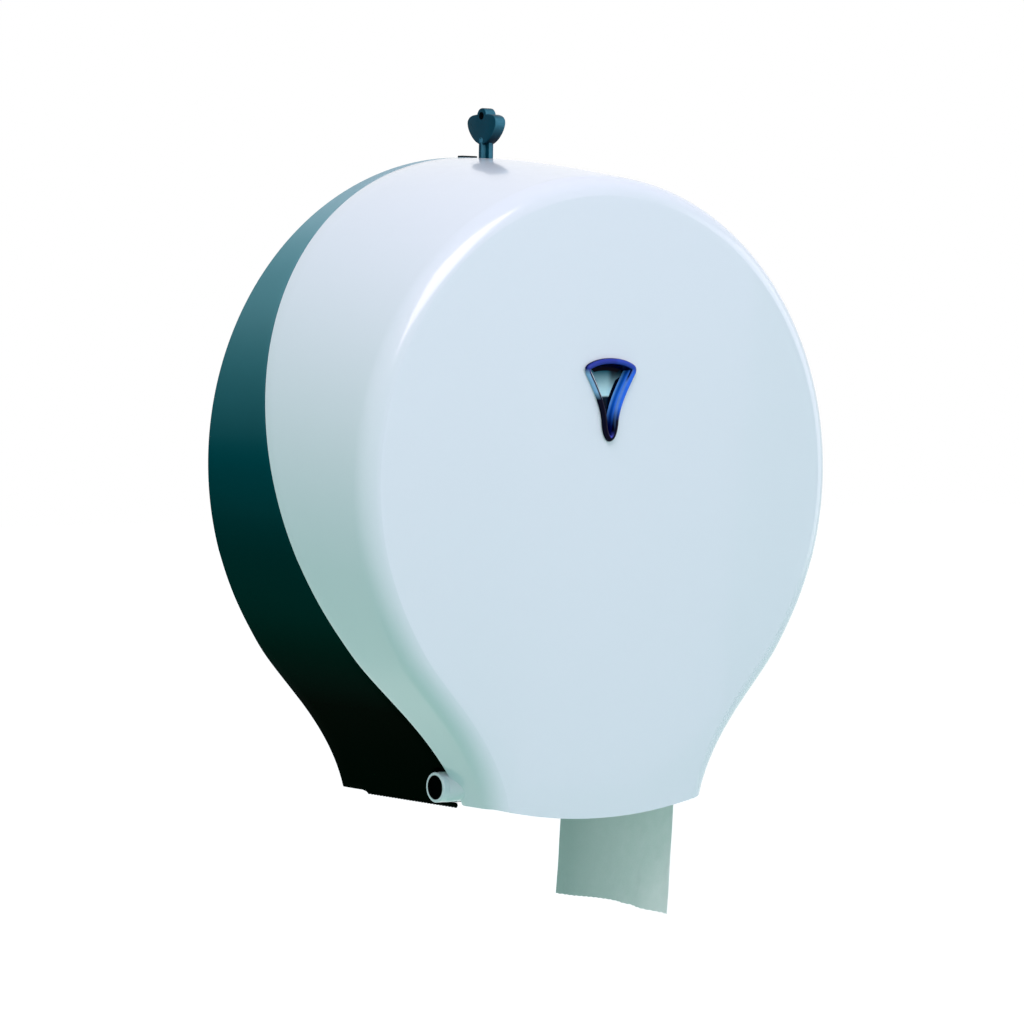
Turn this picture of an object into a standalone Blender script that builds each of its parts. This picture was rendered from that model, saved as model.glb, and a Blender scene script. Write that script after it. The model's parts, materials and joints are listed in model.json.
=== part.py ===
"""Wall-mounted jumbo toilet roll dispenser: a dark dished shell, a white drop-down cover with a level
window, a key lock at the top, toothed tear strips, and a large roll on a turning hub.

Blender 4.5. Metres, +Z up. The wall is the plane y = 0 and the dispenser stands out towards -Y.
The origin lies on the wall, on the axis of the roll. A depth is measured from the wall, and a
height from the bottom edge of the shell.
"""

import math

import bmesh
import bpy
from mathutils import Matrix, Vector
from mathutils.geometry import interpolate_bezier

MM = 0.001
DEGREE = math.pi / 180

# Body: the outline at the wall is a circle on a short neck
DEPTH = 128 * MM
BODY_RADIUS = 163.5 * MM
BODY_RISE = 15 * MM
BODY_CENTRE_HEIGHT = BODY_RADIUS + BODY_RISE
KINK_ANGLE = 54.7 * DEGREE
NECK_HALF_WIDTH = 74.8 * MM
NECK_FOOT_ANGLE = 74.6 * DEGREE
NECK_FOOT_PULL = 40.8 * MM
NECK_TOP_ANGLE = 64.8 * DEGREE
NECK_TOP_PULL = 20.7 * MM
FRONT_SHARE = 0.946
TOP_DROOP = 6.1 * MM
NECK_STEPS = 8
CIRCLE_STEPS = 22
BODY_HEIGHT = BODY_CENTRE_HEIGHT + BODY_RADIUS


def shrink_at(depth):
    """How much smaller the body's section is at a depth than at the wall."""
    return 1 - (1 - FRONT_SHARE) * depth / DEPTH


def droop_at(depth, height):
    """How far the body's skin falls short of that towards the wall, most of all at its top."""
    return TOP_DROOP * (1 - depth / DEPTH) ** 3 * height / BODY_HEIGHT


# The slanted joint between shell and cover
PARTING_TOP_DEPTH = 6.3 * MM
COVER_FOOT_WIDTH = 27 * MM
PARTING_FOOT_DEPTH = DEPTH - COVER_FOOT_WIDTH
FIT_GAP = 0.3 * MM
CUT_OVERRUN = 4 * MM

# Cover
COVER_WALL = 2.5 * MM
COVER_EDGE_RADIUS = 9 * MM
APRON_SAG = 8 * MM
EDGE_STEPS = 5
WALL_STEPS = 3
PLATE_EDGE_STEPS = 12

# Rear shell
SHELL_WALL = 2.5 * MM
SHELL_PLATE = 3 * MM
LIP_GAP = 0.8 * MM
LIP_WALL = 1.4 * MM
LIP_REACH = 3 * MM
LIP_FOOT_REACH = 0.2 * MM
LIP_FULL_HEIGHT = 45 * MM
LIP_ROOT = 1.5 * MM
SPINDLE_PAD_RADIUS = 36 * MM
SPINDLE_PAD_HEIGHT = 3 * MM
FIXING_HALF_SPAN = 60 * MM
FIXING_RISE = 62 * MM
FIXING_HOLE_RADIUS = 2.6 * MM
KEYHOLE_ENTRY_RADIUS = 5 * MM
KEYHOLE_RISE = 9 * MM
WALL_RIM = 14 * MM
WALL_RECESS = 1 * MM
FIXING_PAD_RADIUS = 16 * MM
SHELL_TOP_HEIGHT = BODY_HEIGHT - TOP_DROOP
RIDGE_HALF_WIDTH = 5 * MM
RIDGE_RISE = 1 * MM
RIDGE_SETBACK = 0.4 * MM
RIDGE_FRONT_DEPTH = PARTING_TOP_DEPTH - RIDGE_SETBACK
RIDGE_LENGTH = 4.4 * MM

# Screws
SCREW_RADIUS = 1.9 * MM
SCREW_HEAD_RADIUS = 3.6 * MM
SCREW_HEAD = 1.7 * MM
SCREW_CROWN_SHARE = 0.6
SCREW_LENGTH = 8 * MM
SCREW_HOLE_GAP = 0.3 * MM
SCREW_END_GAP = 0.6 * MM

# Roll and the hub that carries it
ROLL_DROP = 6.5 * MM
SPINDLE_HEIGHT = BODY_CENTRE_HEIGHT - ROLL_DROP
ROLL_ROOM = 33.5 * MM
ROLL_RADIUS = BODY_RADIUS - ROLL_ROOM
CORE_OUTER_RADIUS = 32 * MM
CORE_WALL = 2 * MM
CORE_PLAY = 0.5 * MM
AXLE_RADIUS = 11 * MM
AXLE_FLANGE_MARGIN = 3 * MM
AXLE_FLANGE_RADIUS = SPINDLE_PAD_RADIUS - AXLE_FLANGE_MARGIN
AXLE_FLANGE = 4 * MM
HUB_WALL = 2 * MM
HUB_FLANGE_LEDGE = 12 * MM
HUB_FLANGE_RADIUS = CORE_OUTER_RADIUS + HUB_FLANGE_LEDGE
HUB_FLANGE = 2 * MM
HUB_BACK_ROOM = 2.2 * MM
HUB_OVERHANG = 1.5 * MM
HUB_RIB = 1.6 * MM
HUB_RIBS = 6
RETAINER_LEDGE = 8 * MM
RETAINER_RADIUS = AXLE_RADIUS + RETAINER_LEDGE
RETAINER_THICKNESS = 2.5 * MM
SPINDLE_SCREWS = 3
SPINDLE_SCREW_INSET = 9 * MM
SPINDLE_SCREW_CIRCLE = AXLE_FLANGE_RADIUS - SPINDLE_SCREW_INSET
SPINDLE_SEAT = SHELL_PLATE + SPINDLE_PAD_HEIGHT + FIT_GAP
ROLL_BACK_DEPTH = SPINDLE_SEAT + AXLE_FLANGE + SCREW_HEAD + HUB_BACK_ROOM + HUB_FLANGE + FIT_GAP
ROLL_FRONT_ROOM = 17 * MM
ROLL_WIDTH = DEPTH - ROLL_BACK_DEPTH - ROLL_FRONT_ROOM
ROLL_STEPS = 64

# Hinge at the two bottom corners
PIN_RADIUS = 5.9 * MM
PIN_SINK = 1.2 * MM
PIN_HEAD_LEDGE = 1.1 * MM
PIN_HEAD_RADIUS = PIN_RADIUS + PIN_HEAD_LEDGE
PIN_HEAD = 1.5 * MM
BARREL_BORE_RADIUS = PIN_RADIUS + FIT_GAP
BARREL_WALL = 1.6 * MM
BARREL_RADIUS = BARREL_BORE_RADIUS + BARREL_WALL
HINGE_SETBACK = 10 * MM
HINGE_DEPTH = PARTING_FOOT_DEPTH - HINGE_SETBACK
HINGE_RISE = 1.1 * MM
HINGE_HEIGHT = BARREL_RADIUS + HINGE_RISE
HINGE_HALF_SPAN = NECK_HALF_WIDTH * shrink_at(HINGE_DEPTH)
BARREL_STAND = 9.57 * MM
BARREL_END = HINGE_HALF_SPAN + BARREL_STAND
BARREL_SINK = 2.13 * MM
BARREL_ROOT = HINGE_HALF_SPAN - BARREL_SINK
FAIRING_SWELL = 9.2 * MM
FAIRING_REACH = BARREL_RADIUS + FAIRING_SWELL
NOTCH_GAP = 2.5 * MM
NOTCH_RADIUS = BARREL_RADIUS + NOTCH_GAP
LUG_THICKNESS = 4.4 * MM
LUG_GAP = 0.4 * MM
LUG_OUTER = BARREL_ROOT - LUG_GAP
LUG_INNER = LUG_OUTER - LUG_THICKNESS
LUG_WALL = 1.1 * MM
LUG_RADIUS = PIN_HEAD_RADIUS + FIT_GAP + LUG_WALL
LUG_LENGTH = 27 * MM
LUG_BACK_DEPTH = HINGE_DEPTH - LUG_LENGTH
LUG_BLOCK_GAP = 1.2 * MM
LUG_BLOCK_LENGTH = LUG_LENGTH - NOTCH_RADIUS - LUG_BLOCK_GAP
LUG_BLOCK_INSET = 0.33 * MM
LUG_LEAN_SHARE = 0.4

# Toothed tear strips under the side walls
STRIP_START_DEPTH = 13 * MM
STRIP_LUG_GAP = 2 * MM
STRIP_STEP_DEPTH = LUG_BACK_DEPTH - STRIP_LUG_GAP
STRIP_OVERLAP = 1 * MM
STRIP_END_DEPTH = HINGE_DEPTH + STRIP_OVERLAP
STRIP_RISE = 6 * MM
STRIP_TONGUE_RISE = 0.2 * MM
STRIP_THICKNESS = 1.5 * MM
STRIP_VALLEY_DROP = 1.3 * MM
TOOTH_DEPTH = 1.3 * MM
TOOTH_PITCH = 2.5 * MM

# Level window in the front of the cover
WINDOW_HALF_WIDTH = 17 * MM
WINDOW_HEIGHT = 43.3 * MM
WINDOW_TIP_RISE = 8.8 * MM
WINDOW_TIP_HEIGHT = BODY_CENTRE_HEIGHT + WINDOW_TIP_RISE
WINDOW_STEPS = 5
WINDOW_RIM_RISE = 2.4 * MM
WINDOW_RIM_BEVEL = 1.2 * MM
WINDOW_RIM_WIDTH = 1.4 * MM
WINDOW_PANE_DROP = 1.3 * MM
WINDOW_FLANGE = 2 * MM
WINDOW_WALL = 1.6 * MM
WINDOW_PLUG_LENGTH = 5 * MM
CLIP_WIDTH = 3.5 * MM
CLIP_THICKNESS = 1.8 * MM
# Bezier pieces of the right half, from the tip to the top: share of half width, share of height
WINDOW_OUTLINE_SHARES = (
    ((0, 0), (0.14, 0), (0.28, 0.08), (0.31, 0.22)),
    ((0.31, 0.22), (0.35, 0.42), (0.66, 0.62), (0.955, 0.81)),
    ((0.955, 0.81), (1.02, 0.875), (0.98, 0.91), (0.81, 0.94)),
    ((0.81, 0.94), (0.55, 0.985), (0.27, 1), (0, 1)),
)

# Key
KEY_THICKNESS = 6.9 * MM
KEY_HALF_WIDTH = 12.3 * MM
KEY_HEAD_HEIGHT = 16.4 * MM
KEY_EYE_RADIUS = 4.2 * MM
KEY_EYE_HOLE_RADIUS = 2.05 * MM
KEY_EYE_RISE = 15.5 * MM
KEY_BLADE_WIDTH = 8 * MM
KEY_BLADE_THICKNESS = 2.2 * MM
KEY_BLADE_ROOT = 3 * MM
KEY_DIMPLE_RADIUS = 1.5 * MM
KEY_DIMPLE_DEPTH = 0.5 * MM
KEY_DIMPLE_RISE = 2.6 * MM
KEY_STEPS = 5
# Bezier pieces of one half of the head, from the foot to the top: share of half width, share of height
KEY_OUTLINE_SHARES = (
    ((0, 0), (0.35, 0.03), (0.72, 0.33), (0.9, 0.55)),
    ((0.9, 0.55), (1.02, 0.7), (1.04, 0.84), (0.86, 0.92)),
    ((0.86, 0.92), (0.7, 1), (0.45, 1), (0, 1)),
)

# Lock in the top of the cover
KEYWAY_GAP = 0.55 * MM
KEYWAY_RADIUS = math.hypot(KEY_BLADE_WIDTH / 2, KEY_BLADE_THICKNESS / 2) + KEYWAY_GAP
PLUG_WALL = 1.48 * MM
PLUG_RADIUS = math.hypot(KEY_BLADE_WIDTH / 2 + FIT_GAP, KEY_BLADE_THICKNESS / 2 + FIT_GAP) + PLUG_WALL
HOUSING_WALL = 1.9 * MM
HOUSING_RADIUS = PLUG_RADIUS + FIT_GAP + HOUSING_WALL
HOUSING_WEB = 2 * MM
COLLAR_INNER_RADIUS = HOUSING_RADIUS + FIT_GAP
COLLAR_WALL = 1.8 * MM
COLLAR_DROP = 6 * MM
COLLAR_ROOT = 2 * MM
COLLAR_LIP_GAP = 0.4 * MM
LOCK_DEPTH = PARTING_TOP_DEPTH + LIP_REACH + COLLAR_LIP_GAP + COLLAR_WALL + COLLAR_INNER_RADIUS
LOCK_SINK = 0.95 * MM
COVER_TOP_HEIGHT = BODY_HEIGHT * shrink_at(LOCK_DEPTH) - droop_at(LOCK_DEPTH, BODY_HEIGHT)
LOCK_TOP_HEIGHT = COVER_TOP_HEIGHT - COVER_WALL - LOCK_SINK
CAM_THICKNESS = 2.8 * MM
CAM_WIDTH = 8 * MM
CAM_HOOK = 1.9 * MM
CAM_HOOK_RISE = 5.7 * MM
CAM_SCREW_RADIUS = 1.7 * MM
CAM_SCREW_LENGTH = 6.2 * MM
LOCK_ROLL_GAP = 5.4 * MM
CAM_SCREW_FOOT_HEIGHT = SPINDLE_HEIGHT + ROLL_RADIUS + LOCK_ROLL_GAP
CAM_TOP_HEIGHT = CAM_SCREW_FOOT_HEIGHT + SCREW_HEAD + FIT_GAP + CAM_THICKNESS
HOUSING_LENGTH = LOCK_TOP_HEIGHT - CAM_TOP_HEIGHT - 2 * FIT_GAP
PLUG_TOP = HOUSING_WEB + FIT_GAP
PLUG_FOOT = HOUSING_LENGTH + FIT_GAP
CAM_SCREW_TIP = PLUG_FOOT + 2 * FIT_GAP + CAM_THICKNESS - CAM_SCREW_LENGTH - SCREW_END_GAP
SOCKET_FLOOR = 1.8 * MM
SOCKET_DEPTH = CAM_SCREW_TIP - PLUG_TOP - SOCKET_FLOOR
KEY_STEM = 10.4 * MM
KEY_HEAD_FOOT_HEIGHT = LOCK_TOP_HEIGHT + KEY_STEM

# Strike that the cam hooks behind
STRIKE_PLATE = 2 * MM
STRIKE_HALF_WIDTH = 16 * MM
STRIKE_HOOK_HALF_WIDTH = 4.5 * MM
STRIKE_HOOK_WALL = 1.6 * MM
STRIKE_HOUSING_GAP = 0.6 * MM
STRIKE_HOOK_FRONT_DEPTH = LOCK_DEPTH - HOUSING_RADIUS - STRIKE_HOUSING_GAP
STRIKE_HOOK_BACK_DEPTH = STRIKE_HOOK_FRONT_DEPTH - STRIKE_HOOK_WALL
CAM_HOOK_GAP = 1.5 * MM
CAM_HOOK_REACH = LOCK_DEPTH - STRIKE_HOOK_BACK_DEPTH + CAM_HOOK_GAP
STRIKE_HOOK_FOOT_GAP = 0.8 * MM
STRIKE_HOOK_FOOT_HEIGHT = CAM_TOP_HEIGHT + STRIKE_HOOK_FOOT_GAP
STRIKE_FOOT_GAP = 2.1 * MM
STRIKE_FOOT_HEIGHT = CAM_TOP_HEIGHT + CAM_HOOK_RISE + STRIKE_FOOT_GAP
STRIKE_BOSS = 3 * MM
STRIKE_BOSS_MARGIN = 1 * MM
STRIKE_SEAT = SHELL_PLATE + STRIKE_BOSS + FIT_GAP
STRIKE_FRONT_DEPTH = STRIKE_SEAT + STRIKE_PLATE
LIP_INSET = COVER_WALL + LIP_GAP + LIP_WALL
STRIKE_ROOM_TOP = BODY_HEIGHT * shrink_at(STRIKE_FRONT_DEPTH) - droop_at(STRIKE_FRONT_DEPTH, BODY_HEIGHT)
STRIKE_TOP_GAP = 1.81 * MM
STRIKE_TOP_HEIGHT = STRIKE_ROOM_TOP - LIP_INSET - STRIKE_TOP_GAP
STRIKE_SCREW_SPAN = 12 * MM
STRIKE_SCREW_HEIGHT = (STRIKE_FOOT_HEIGHT + STRIKE_TOP_HEIGHT) / 2
STRIKE_SCREW_LENGTH = 6.2 * MM

# Paper tail that hangs out of the outlet on the right
TAIL_THICKNESS = 0.5 * MM
TAIL_ROLL_GAP = 0.6 * MM
TAIL_LEAVE_LEAD = 4.25 * DEGREE
TAIL_LEAVE_PULL_SHARE = 0.4
TAIL_LUG_GAP = 1.8 * MM
TAIL_OUTLET_HALF = LUG_INNER - TAIL_LUG_GAP
TAIL_OUTLET_HEIGHT = 17.5 * MM
TAIL_OUTLET_PULL_SHARE = 0.31
TAIL_OUTLET_LEAN_SHARE = 0.1
TAIL_DROP = 65 * MM
TAIL_CURL = 4.5 * MM
TAIL_TORN_RISE = 2 * MM
TAIL_FOLD = 1.2 * MM
TAIL_FOLDS_SHARES = ((0.62, 0.05, 0.7), (0.78, 0.06, 1), (0.93, 0.05, -0.6))
TAIL_INNER_STEPS = 12
TAIL_HANGING_STEPS = 10
TAIL_WIDTH_STEPS = 16

ROUND_STEPS = 24
ROD_TWIST = 3.7 * DEGREE
SHARP_ANGLE = 35 * DEGREE
MERGE = 0.001 * MM

TO_ROOM = Vector((0, -1, 0))
RIGHT = Vector((1, 0, 0))
UP = Vector((0, 0, 1))


def spot(x, depth, height):
    """A point given by its place across, its depth from the wall and its height over the bottom edge."""
    return Vector((x, -depth, height - SPINDLE_HEIGHT))


def material(name, colour, roughness, metallic=0.0, alpha=1.0):
    made = bpy.data.materials.new(name)
    made.use_nodes = True
    shader = made.node_tree.nodes["Principled BSDF"]
    shader.inputs["Base Color"].default_value = (*colour, 1)
    shader.inputs["Roughness"].default_value = roughness
    shader.inputs["Metallic"].default_value = metallic
    shader.inputs["Alpha"].default_value = alpha
    made.diffuse_color = (*colour, alpha)
    return made


def clear_scene():
    for leftover in list(bpy.data.objects):
        bpy.data.objects.remove(leftover)


def pivot(name, place):
    """An empty on a joint's axis, which carries the pieces that move about it."""
    made = bpy.data.objects.new(name, None)
    made.location = place
    made.empty_display_size = BARREL_RADIUS
    bpy.context.scene.collection.objects.link(made)
    return made


def piece(name, shape, finish, carrier=None):
    """Turns a bmesh in room coordinates into an object whose origin is its carrier's."""
    bmesh.ops.recalc_face_normals(shape, faces=shape.faces[:])
    mesh = bpy.data.meshes.new(name)
    if carrier:
        bmesh.ops.translate(shape, verts=shape.verts[:], vec=-carrier.location)
    shape.to_mesh(mesh)
    shape.free()
    mesh.materials.append(finish)
    mesh.shade_smooth()
    mesh.set_sharp_from_angle(angle=SHARP_ANGLE)
    made = bpy.data.objects.new(name, mesh)
    made.parent = carrier
    bpy.context.scene.collection.objects.link(made)
    return made


def tool(name, shape, finish):
    """A helper solid that a Boolean uses and no render shows."""
    made = piece(name, shape, finish)
    made.hide_render = True
    made.display_type = "WIRE"
    return made


def combine(target, operation, helper):
    step = target.modifiers.new(helper.name, "BOOLEAN")
    step.operation = operation
    step.object = helper
    step.solver = "EXACT"


def slab(points, move):
    """A flat outline pushed along one vector."""
    shape = bmesh.new()
    face = shape.faces.new([shape.verts.new(point) for point in points])
    pushed = bmesh.ops.extrude_face_region(shape, geom=[face])["geom"]
    moved = [item for item in pushed if isinstance(item, bmesh.types.BMVert)]
    bmesh.ops.translate(shape, verts=moved, vec=move)
    return shape


def block(low, high):
    """A box between two opposite corners."""
    shape = bmesh.new()
    middle = (low + high) / 2
    size = high - low
    place = Matrix.Translation(middle) @ Matrix.Diagonal((*size, 1))
    bmesh.ops.create_cube(shape, size=1, matrix=place)
    return shape


def turned(profile, centre, axis, steps=ROUND_STEPS, twist=0):
    """A solid of revolution from (radius, distance along the axis) points. Their open run gets
    flat ends, and a run whose ends are the same point is a ring."""
    shape = bmesh.new()
    side = Matrix.Rotation(twist, 3, axis) @ axis.orthogonal().normalized()
    points = [centre + side * radius + axis * along for radius, along in profile]
    verts = [shape.verts.new(point) for point in points]
    edges = [shape.edges.new(pair) for pair in zip(verts, verts[1:])]
    bmesh.ops.spin(shape, geom=verts + edges, cent=centre, axis=axis, angle=math.tau, steps=steps)
    bmesh.ops.remove_doubles(shape, verts=shape.verts[:], dist=MERGE)
    ends = [edge for edge in shape.edges if edge.is_boundary]
    bmesh.ops.holes_fill(shape, edges=ends, sides=0)
    return shape


def rod(radius, start, end, steps=ROUND_STEPS, twist=ROD_TWIST):
    """A round bar, turned a little so that its corners miss those of what it cuts."""
    axis = (end - start).normalized()
    return turned(((radius, 0), (radius, (end - start).length)), start, axis, steps, twist)


def lofted(loops):
    """A closed solid through rings of equal count, its first and last ring filled."""
    shape = bmesh.new()
    rings = [[shape.verts.new(point) for point in loop] for loop in loops]
    for low, high in zip(rings, rings[1:]):
        for i in range(len(low)):
            j = (i + 1) % len(low)
            shape.faces.new((low[i], low[j], high[j], high[i]))
    shape.faces.new(rings[0])
    shape.faces.new(rings[-1])
    return shape


def half_outline():
    """Right half of the body's outline at the wall, as (x, height) from the foot up to the top."""
    def on_circle(angle):
        return Vector((BODY_RADIUS * math.sin(angle), BODY_CENTRE_HEIGHT - BODY_RADIUS * math.cos(angle)))

    foot = Vector((NECK_HALF_WIDTH, 0))
    kink = on_circle(KINK_ANGLE)
    foot_aim = Vector((math.cos(NECK_FOOT_ANGLE), math.sin(NECK_FOOT_ANGLE)))
    kink_aim = Vector((math.cos(NECK_TOP_ANGLE), math.sin(NECK_TOP_ANGLE)))
    neck = interpolate_bezier(
        foot,
        foot + foot_aim * NECK_FOOT_PULL,
        kink - kink_aim * NECK_TOP_PULL,
        kink,
        NECK_STEPS + 1,
    )
    sweep = math.pi - KINK_ANGLE
    circle = [on_circle(KINK_ANGLE + sweep * i / CIRCLE_STEPS) for i in range(1, CIRCLE_STEPS + 1)]
    return [(point.x, point.y) for point in neck + circle]


def body_stations():
    """The whole outline from the left foot over the top to the right foot, with outward normals."""
    right = half_outline()
    whole = [(-x, height) for x, height in right] + right[-2::-1]
    stations = []
    for i, (x, height) in enumerate(whole):
        before = Vector(whole[max(i - 1, 0)])
        after = Vector(whole[min(i + 1, len(whole) - 1)])
        along = (after - before).normalized()
        stations.append((x, height, -along.y, along.x))
    stations[0] = (*whole[0], -1, 0)
    stations[-1] = (*whole[-1], 1, 0)
    return stations


def on_body(station, depth, inset):
    """A point on the skin of the body, or a distance inward from it."""
    x, height, out_x, out_z = station
    shrink = shrink_at(depth)
    skin = height * shrink - droop_at(depth, height)
    return spot(x * shrink - inset * out_x, depth, skin - inset * out_z)


def parting_depth(height):
    rise_share = height / BODY_HEIGHT
    return PARTING_FOOT_DEPTH + (PARTING_TOP_DEPTH - PARTING_FOOT_DEPTH) * rise_share


def runs(start, end, steps):
    return [start + (end - start) * i / steps for i in range(steps + 1)]


def cover_section(height):
    """(depth, inset) from the front plate's outer corner, round the rear rim, to its inner corner."""
    rim = parting_depth(height) + FIT_GAP
    bend = DEPTH - COVER_EDGE_RADIUS
    inner_radius = COVER_EDGE_RADIUS - COVER_WALL
    angles = runs(0, math.pi / 2, EDGE_STEPS)
    outer_edge = [
        (bend + COVER_EDGE_RADIUS * math.sin(a), COVER_EDGE_RADIUS * (1 - math.cos(a))) for a in angles
    ]
    inner_edge = [
        (bend + inner_radius * math.sin(a), COVER_WALL + inner_radius * (1 - math.cos(a))) for a in angles
    ]
    wall = runs(bend, rim, WALL_STEPS)[1:]
    outer = outer_edge[::-1] + [(depth, 0) for depth in wall]
    inner = [(depth, COVER_WALL) for depth in wall[::-1]] + inner_edge
    return outer + inner


def shell_section(height):
    """(depth, inset) from the back plate's outer corner, round the lip, to its inner corner."""
    rim = parting_depth(height)
    lip = COVER_WALL + LIP_GAP
    full_share = min(1, height / LIP_FULL_HEIGHT)
    reach = LIP_FOOT_REACH + (LIP_REACH - LIP_FOOT_REACH) * full_share
    outer = [(depth, 0) for depth in runs(0, rim, WALL_STEPS)]
    tongue = [
        (rim, lip),
        (rim + reach, lip),
        (rim + reach, lip + LIP_WALL),
        (rim - LIP_ROOT, lip + LIP_WALL),
    ]
    inner = [(depth, SHELL_WALL) for depth in runs(rim - 2 * LIP_ROOT, SHELL_PLATE, WALL_STEPS)]
    return outer + tongue + inner


def dish(section, sag, sag_half_width):
    """A plate with a wall along the outline, open at the bottom. The plate's bottom edge hangs
    lower in the middle by the sag."""
    def drop(x):
        return sag * max(0, 1 - (x / sag_half_width) ** 2)

    shape = bmesh.new()
    grid = []
    for station in body_stations():
        places = [on_body(station, depth, inset) for depth, inset in section(station[1])]
        grid.append([shape.verts.new(place) for place in places])
    for foot in (grid[0], grid[-1]):
        for vert in foot:
            vert.co.z -= drop(vert.co.x)
    for left, right in zip(grid, grid[1:]):
        for k in range(len(left) - 1):
            shape.faces.new((left[k], left[k + 1], right[k + 1], right[k]))

    chains = []
    for k in (0, -1):
        start, end = grid[-1][k], grid[0][k]
        places = runs(start.co, end.co, PLATE_EDGE_STEPS)[1:-1]
        for place in places:
            place.z = spot(0, 0, 0).z - drop(place.x)
        chains.append([start] + [shape.verts.new(place) for place in places] + [end])
        shape.faces.new([row[k] for row in grid] + chains[-1][1:-1])
    outer, inner = chains
    for i in range(PLATE_EDGE_STEPS):
        shape.faces.new((outer[i], outer[i + 1], inner[i + 1], inner[i]))
    shape.faces.new(grid[0])
    shape.faces.new(grid[-1])
    return shape


def arc_points(centre, radius, start, end, steps):
    """Points of an arc in the depth and height plane, the angle turning from the room to the top."""
    angles = runs(start, end, steps)
    return [(centre[0] + radius * math.cos(a), centre[1] + radius * math.sin(a)) for a in angles]


def side_slab(side, near, far, points):
    """A (depth, height) outline pushed across the dispenser on its left (-1) or right (+1) side."""
    return slab([spot(side * near, depth, height) for depth, height in points], RIGHT * side * (far - near))


def notch(side):
    """Room in the shell for the cover's hinge barrel and its fairing, open to the bottom."""
    top = HINGE_HEIGHT + NOTCH_RADIUS
    step = parting_depth(top) + FIT_GAP
    front = HINGE_DEPTH + FAIRING_REACH + CUT_OVERRUN
    meeting = math.acos((step - HINGE_DEPTH) / NOTCH_RADIUS)
    round_part = arc_points((HINGE_DEPTH, HINGE_HEIGHT), NOTCH_RADIUS, meeting, math.pi, ROUND_STEPS // 2)
    square_part = [
        (HINGE_DEPTH - NOTCH_RADIUS, -CUT_OVERRUN),
        (front, -CUT_OVERRUN),
        (front, top),
        (step, top),
    ]
    return side_slab(side, LUG_INNER - CUT_OVERRUN, BARREL_END + CUT_OVERRUN, round_part + square_part)


def lug_ear(side):
    """Rounded ear of the shell beside the barrel, which the hinge pin goes through."""
    hinge = (HINGE_DEPTH, HINGE_HEIGHT)
    nose = arc_points(hinge, LUG_RADIUS, -math.pi / 2, math.pi / 2, ROUND_STEPS // 2)
    back = [
        (LUG_BACK_DEPTH, HINGE_HEIGHT + LUG_RADIUS),
        (LUG_BACK_DEPTH, HINGE_HEIGHT - LUG_RADIUS),
    ]
    return side_slab(side, LUG_INNER, LUG_OUTER, nose + back)


def lug_block(side):
    """Block that joins the ear to the side wall behind the notch."""
    low, high = HINGE_HEIGHT - LUG_RADIUS, HINGE_HEIGHT + LUG_RADIUS
    reach = HINGE_HALF_SPAN - LUG_BLOCK_INSET
    spread = reach + (high - low) * LUG_LEAN_SHARE
    corners = ((LUG_INNER, low), (reach, low), (spread, high), (LUG_INNER, high))
    points = [spot(side * x, LUG_BACK_DEPTH, height) for x, height in corners]
    return slab(points, TO_ROOM * LUG_BLOCK_LENGTH)


def hinge_line(side, near, far, radius, twist=ROD_TWIST):
    """A rod on the hinge axis between two distances from the middle."""
    start = spot(side * near, HINGE_DEPTH, HINGE_HEIGHT)
    end = spot(side * far, HINGE_DEPTH, HINGE_HEIGHT)
    return rod(radius, start, end, ROUND_STEPS, twist)


def barrel(side):
    """Hinge barrel of the cover and the fairing that runs from it into the side wall."""
    shape = bmesh.new()
    for x, reach in ((BARREL_END, BARREL_RADIUS), (BARREL_ROOT, FAIRING_REACH)):
        for i in range(ROUND_STEPS):
            angle = math.tau * i / ROUND_STEPS - ROD_TWIST
            forward = reach if math.cos(angle) > 0 else BARREL_RADIUS
            depth = HINGE_DEPTH + forward * math.cos(angle)
            height = HINGE_HEIGHT + BARREL_RADIUS * math.sin(angle)
            shape.verts.new(spot(side * x, depth, height))
    bmesh.ops.convex_hull(shape, input=shape.verts[:])
    return shape


def keyhole(x, height):
    """Hole for a wall screw's head with a slot above it for the shank."""
    entry = rod(
        KEYHOLE_ENTRY_RADIUS,
        spot(x, -CUT_OVERRUN, height),
        spot(x, SHELL_PLATE + CUT_OVERRUN, height),
    )
    half = FIXING_HOLE_RADIUS
    low = spot(x - half, SHELL_PLATE + CUT_OVERRUN, height)
    high = spot(x + half, -CUT_OVERRUN, height + KEYHOLE_RISE)
    return entry, block(low, high)


def joined(*shapes):
    """Several shapes as one mesh, for a helper that cuts or adds at separate places."""
    whole = bmesh.new()
    for shape in shapes:
        mesh = bpy.data.meshes.new("helper_part")
        bmesh.ops.recalc_face_normals(shape, faces=shape.faces[:])
        shape.to_mesh(mesh)
        shape.free()
        whole.from_mesh(mesh)
        bpy.data.meshes.remove(mesh)
    return whole


def spindle_screw_places():
    ring = []
    for i in range(SPINDLE_SCREWS):
        angle = math.pi / 2 + math.tau * i / SPINDLE_SCREWS
        ring.append((SPINDLE_SCREW_CIRCLE * math.cos(angle), SPINDLE_SCREW_CIRCLE * math.sin(angle)))
    return ring


def screw_hole(place, reach, length):
    """Hole for a screw's shank, from the seat of its head and past its point."""
    start = place - TO_ROOM * (length + SCREW_END_GAP)
    return rod(SCREW_RADIUS + SCREW_HOLE_GAP, start, place + TO_ROOM * reach)


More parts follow.
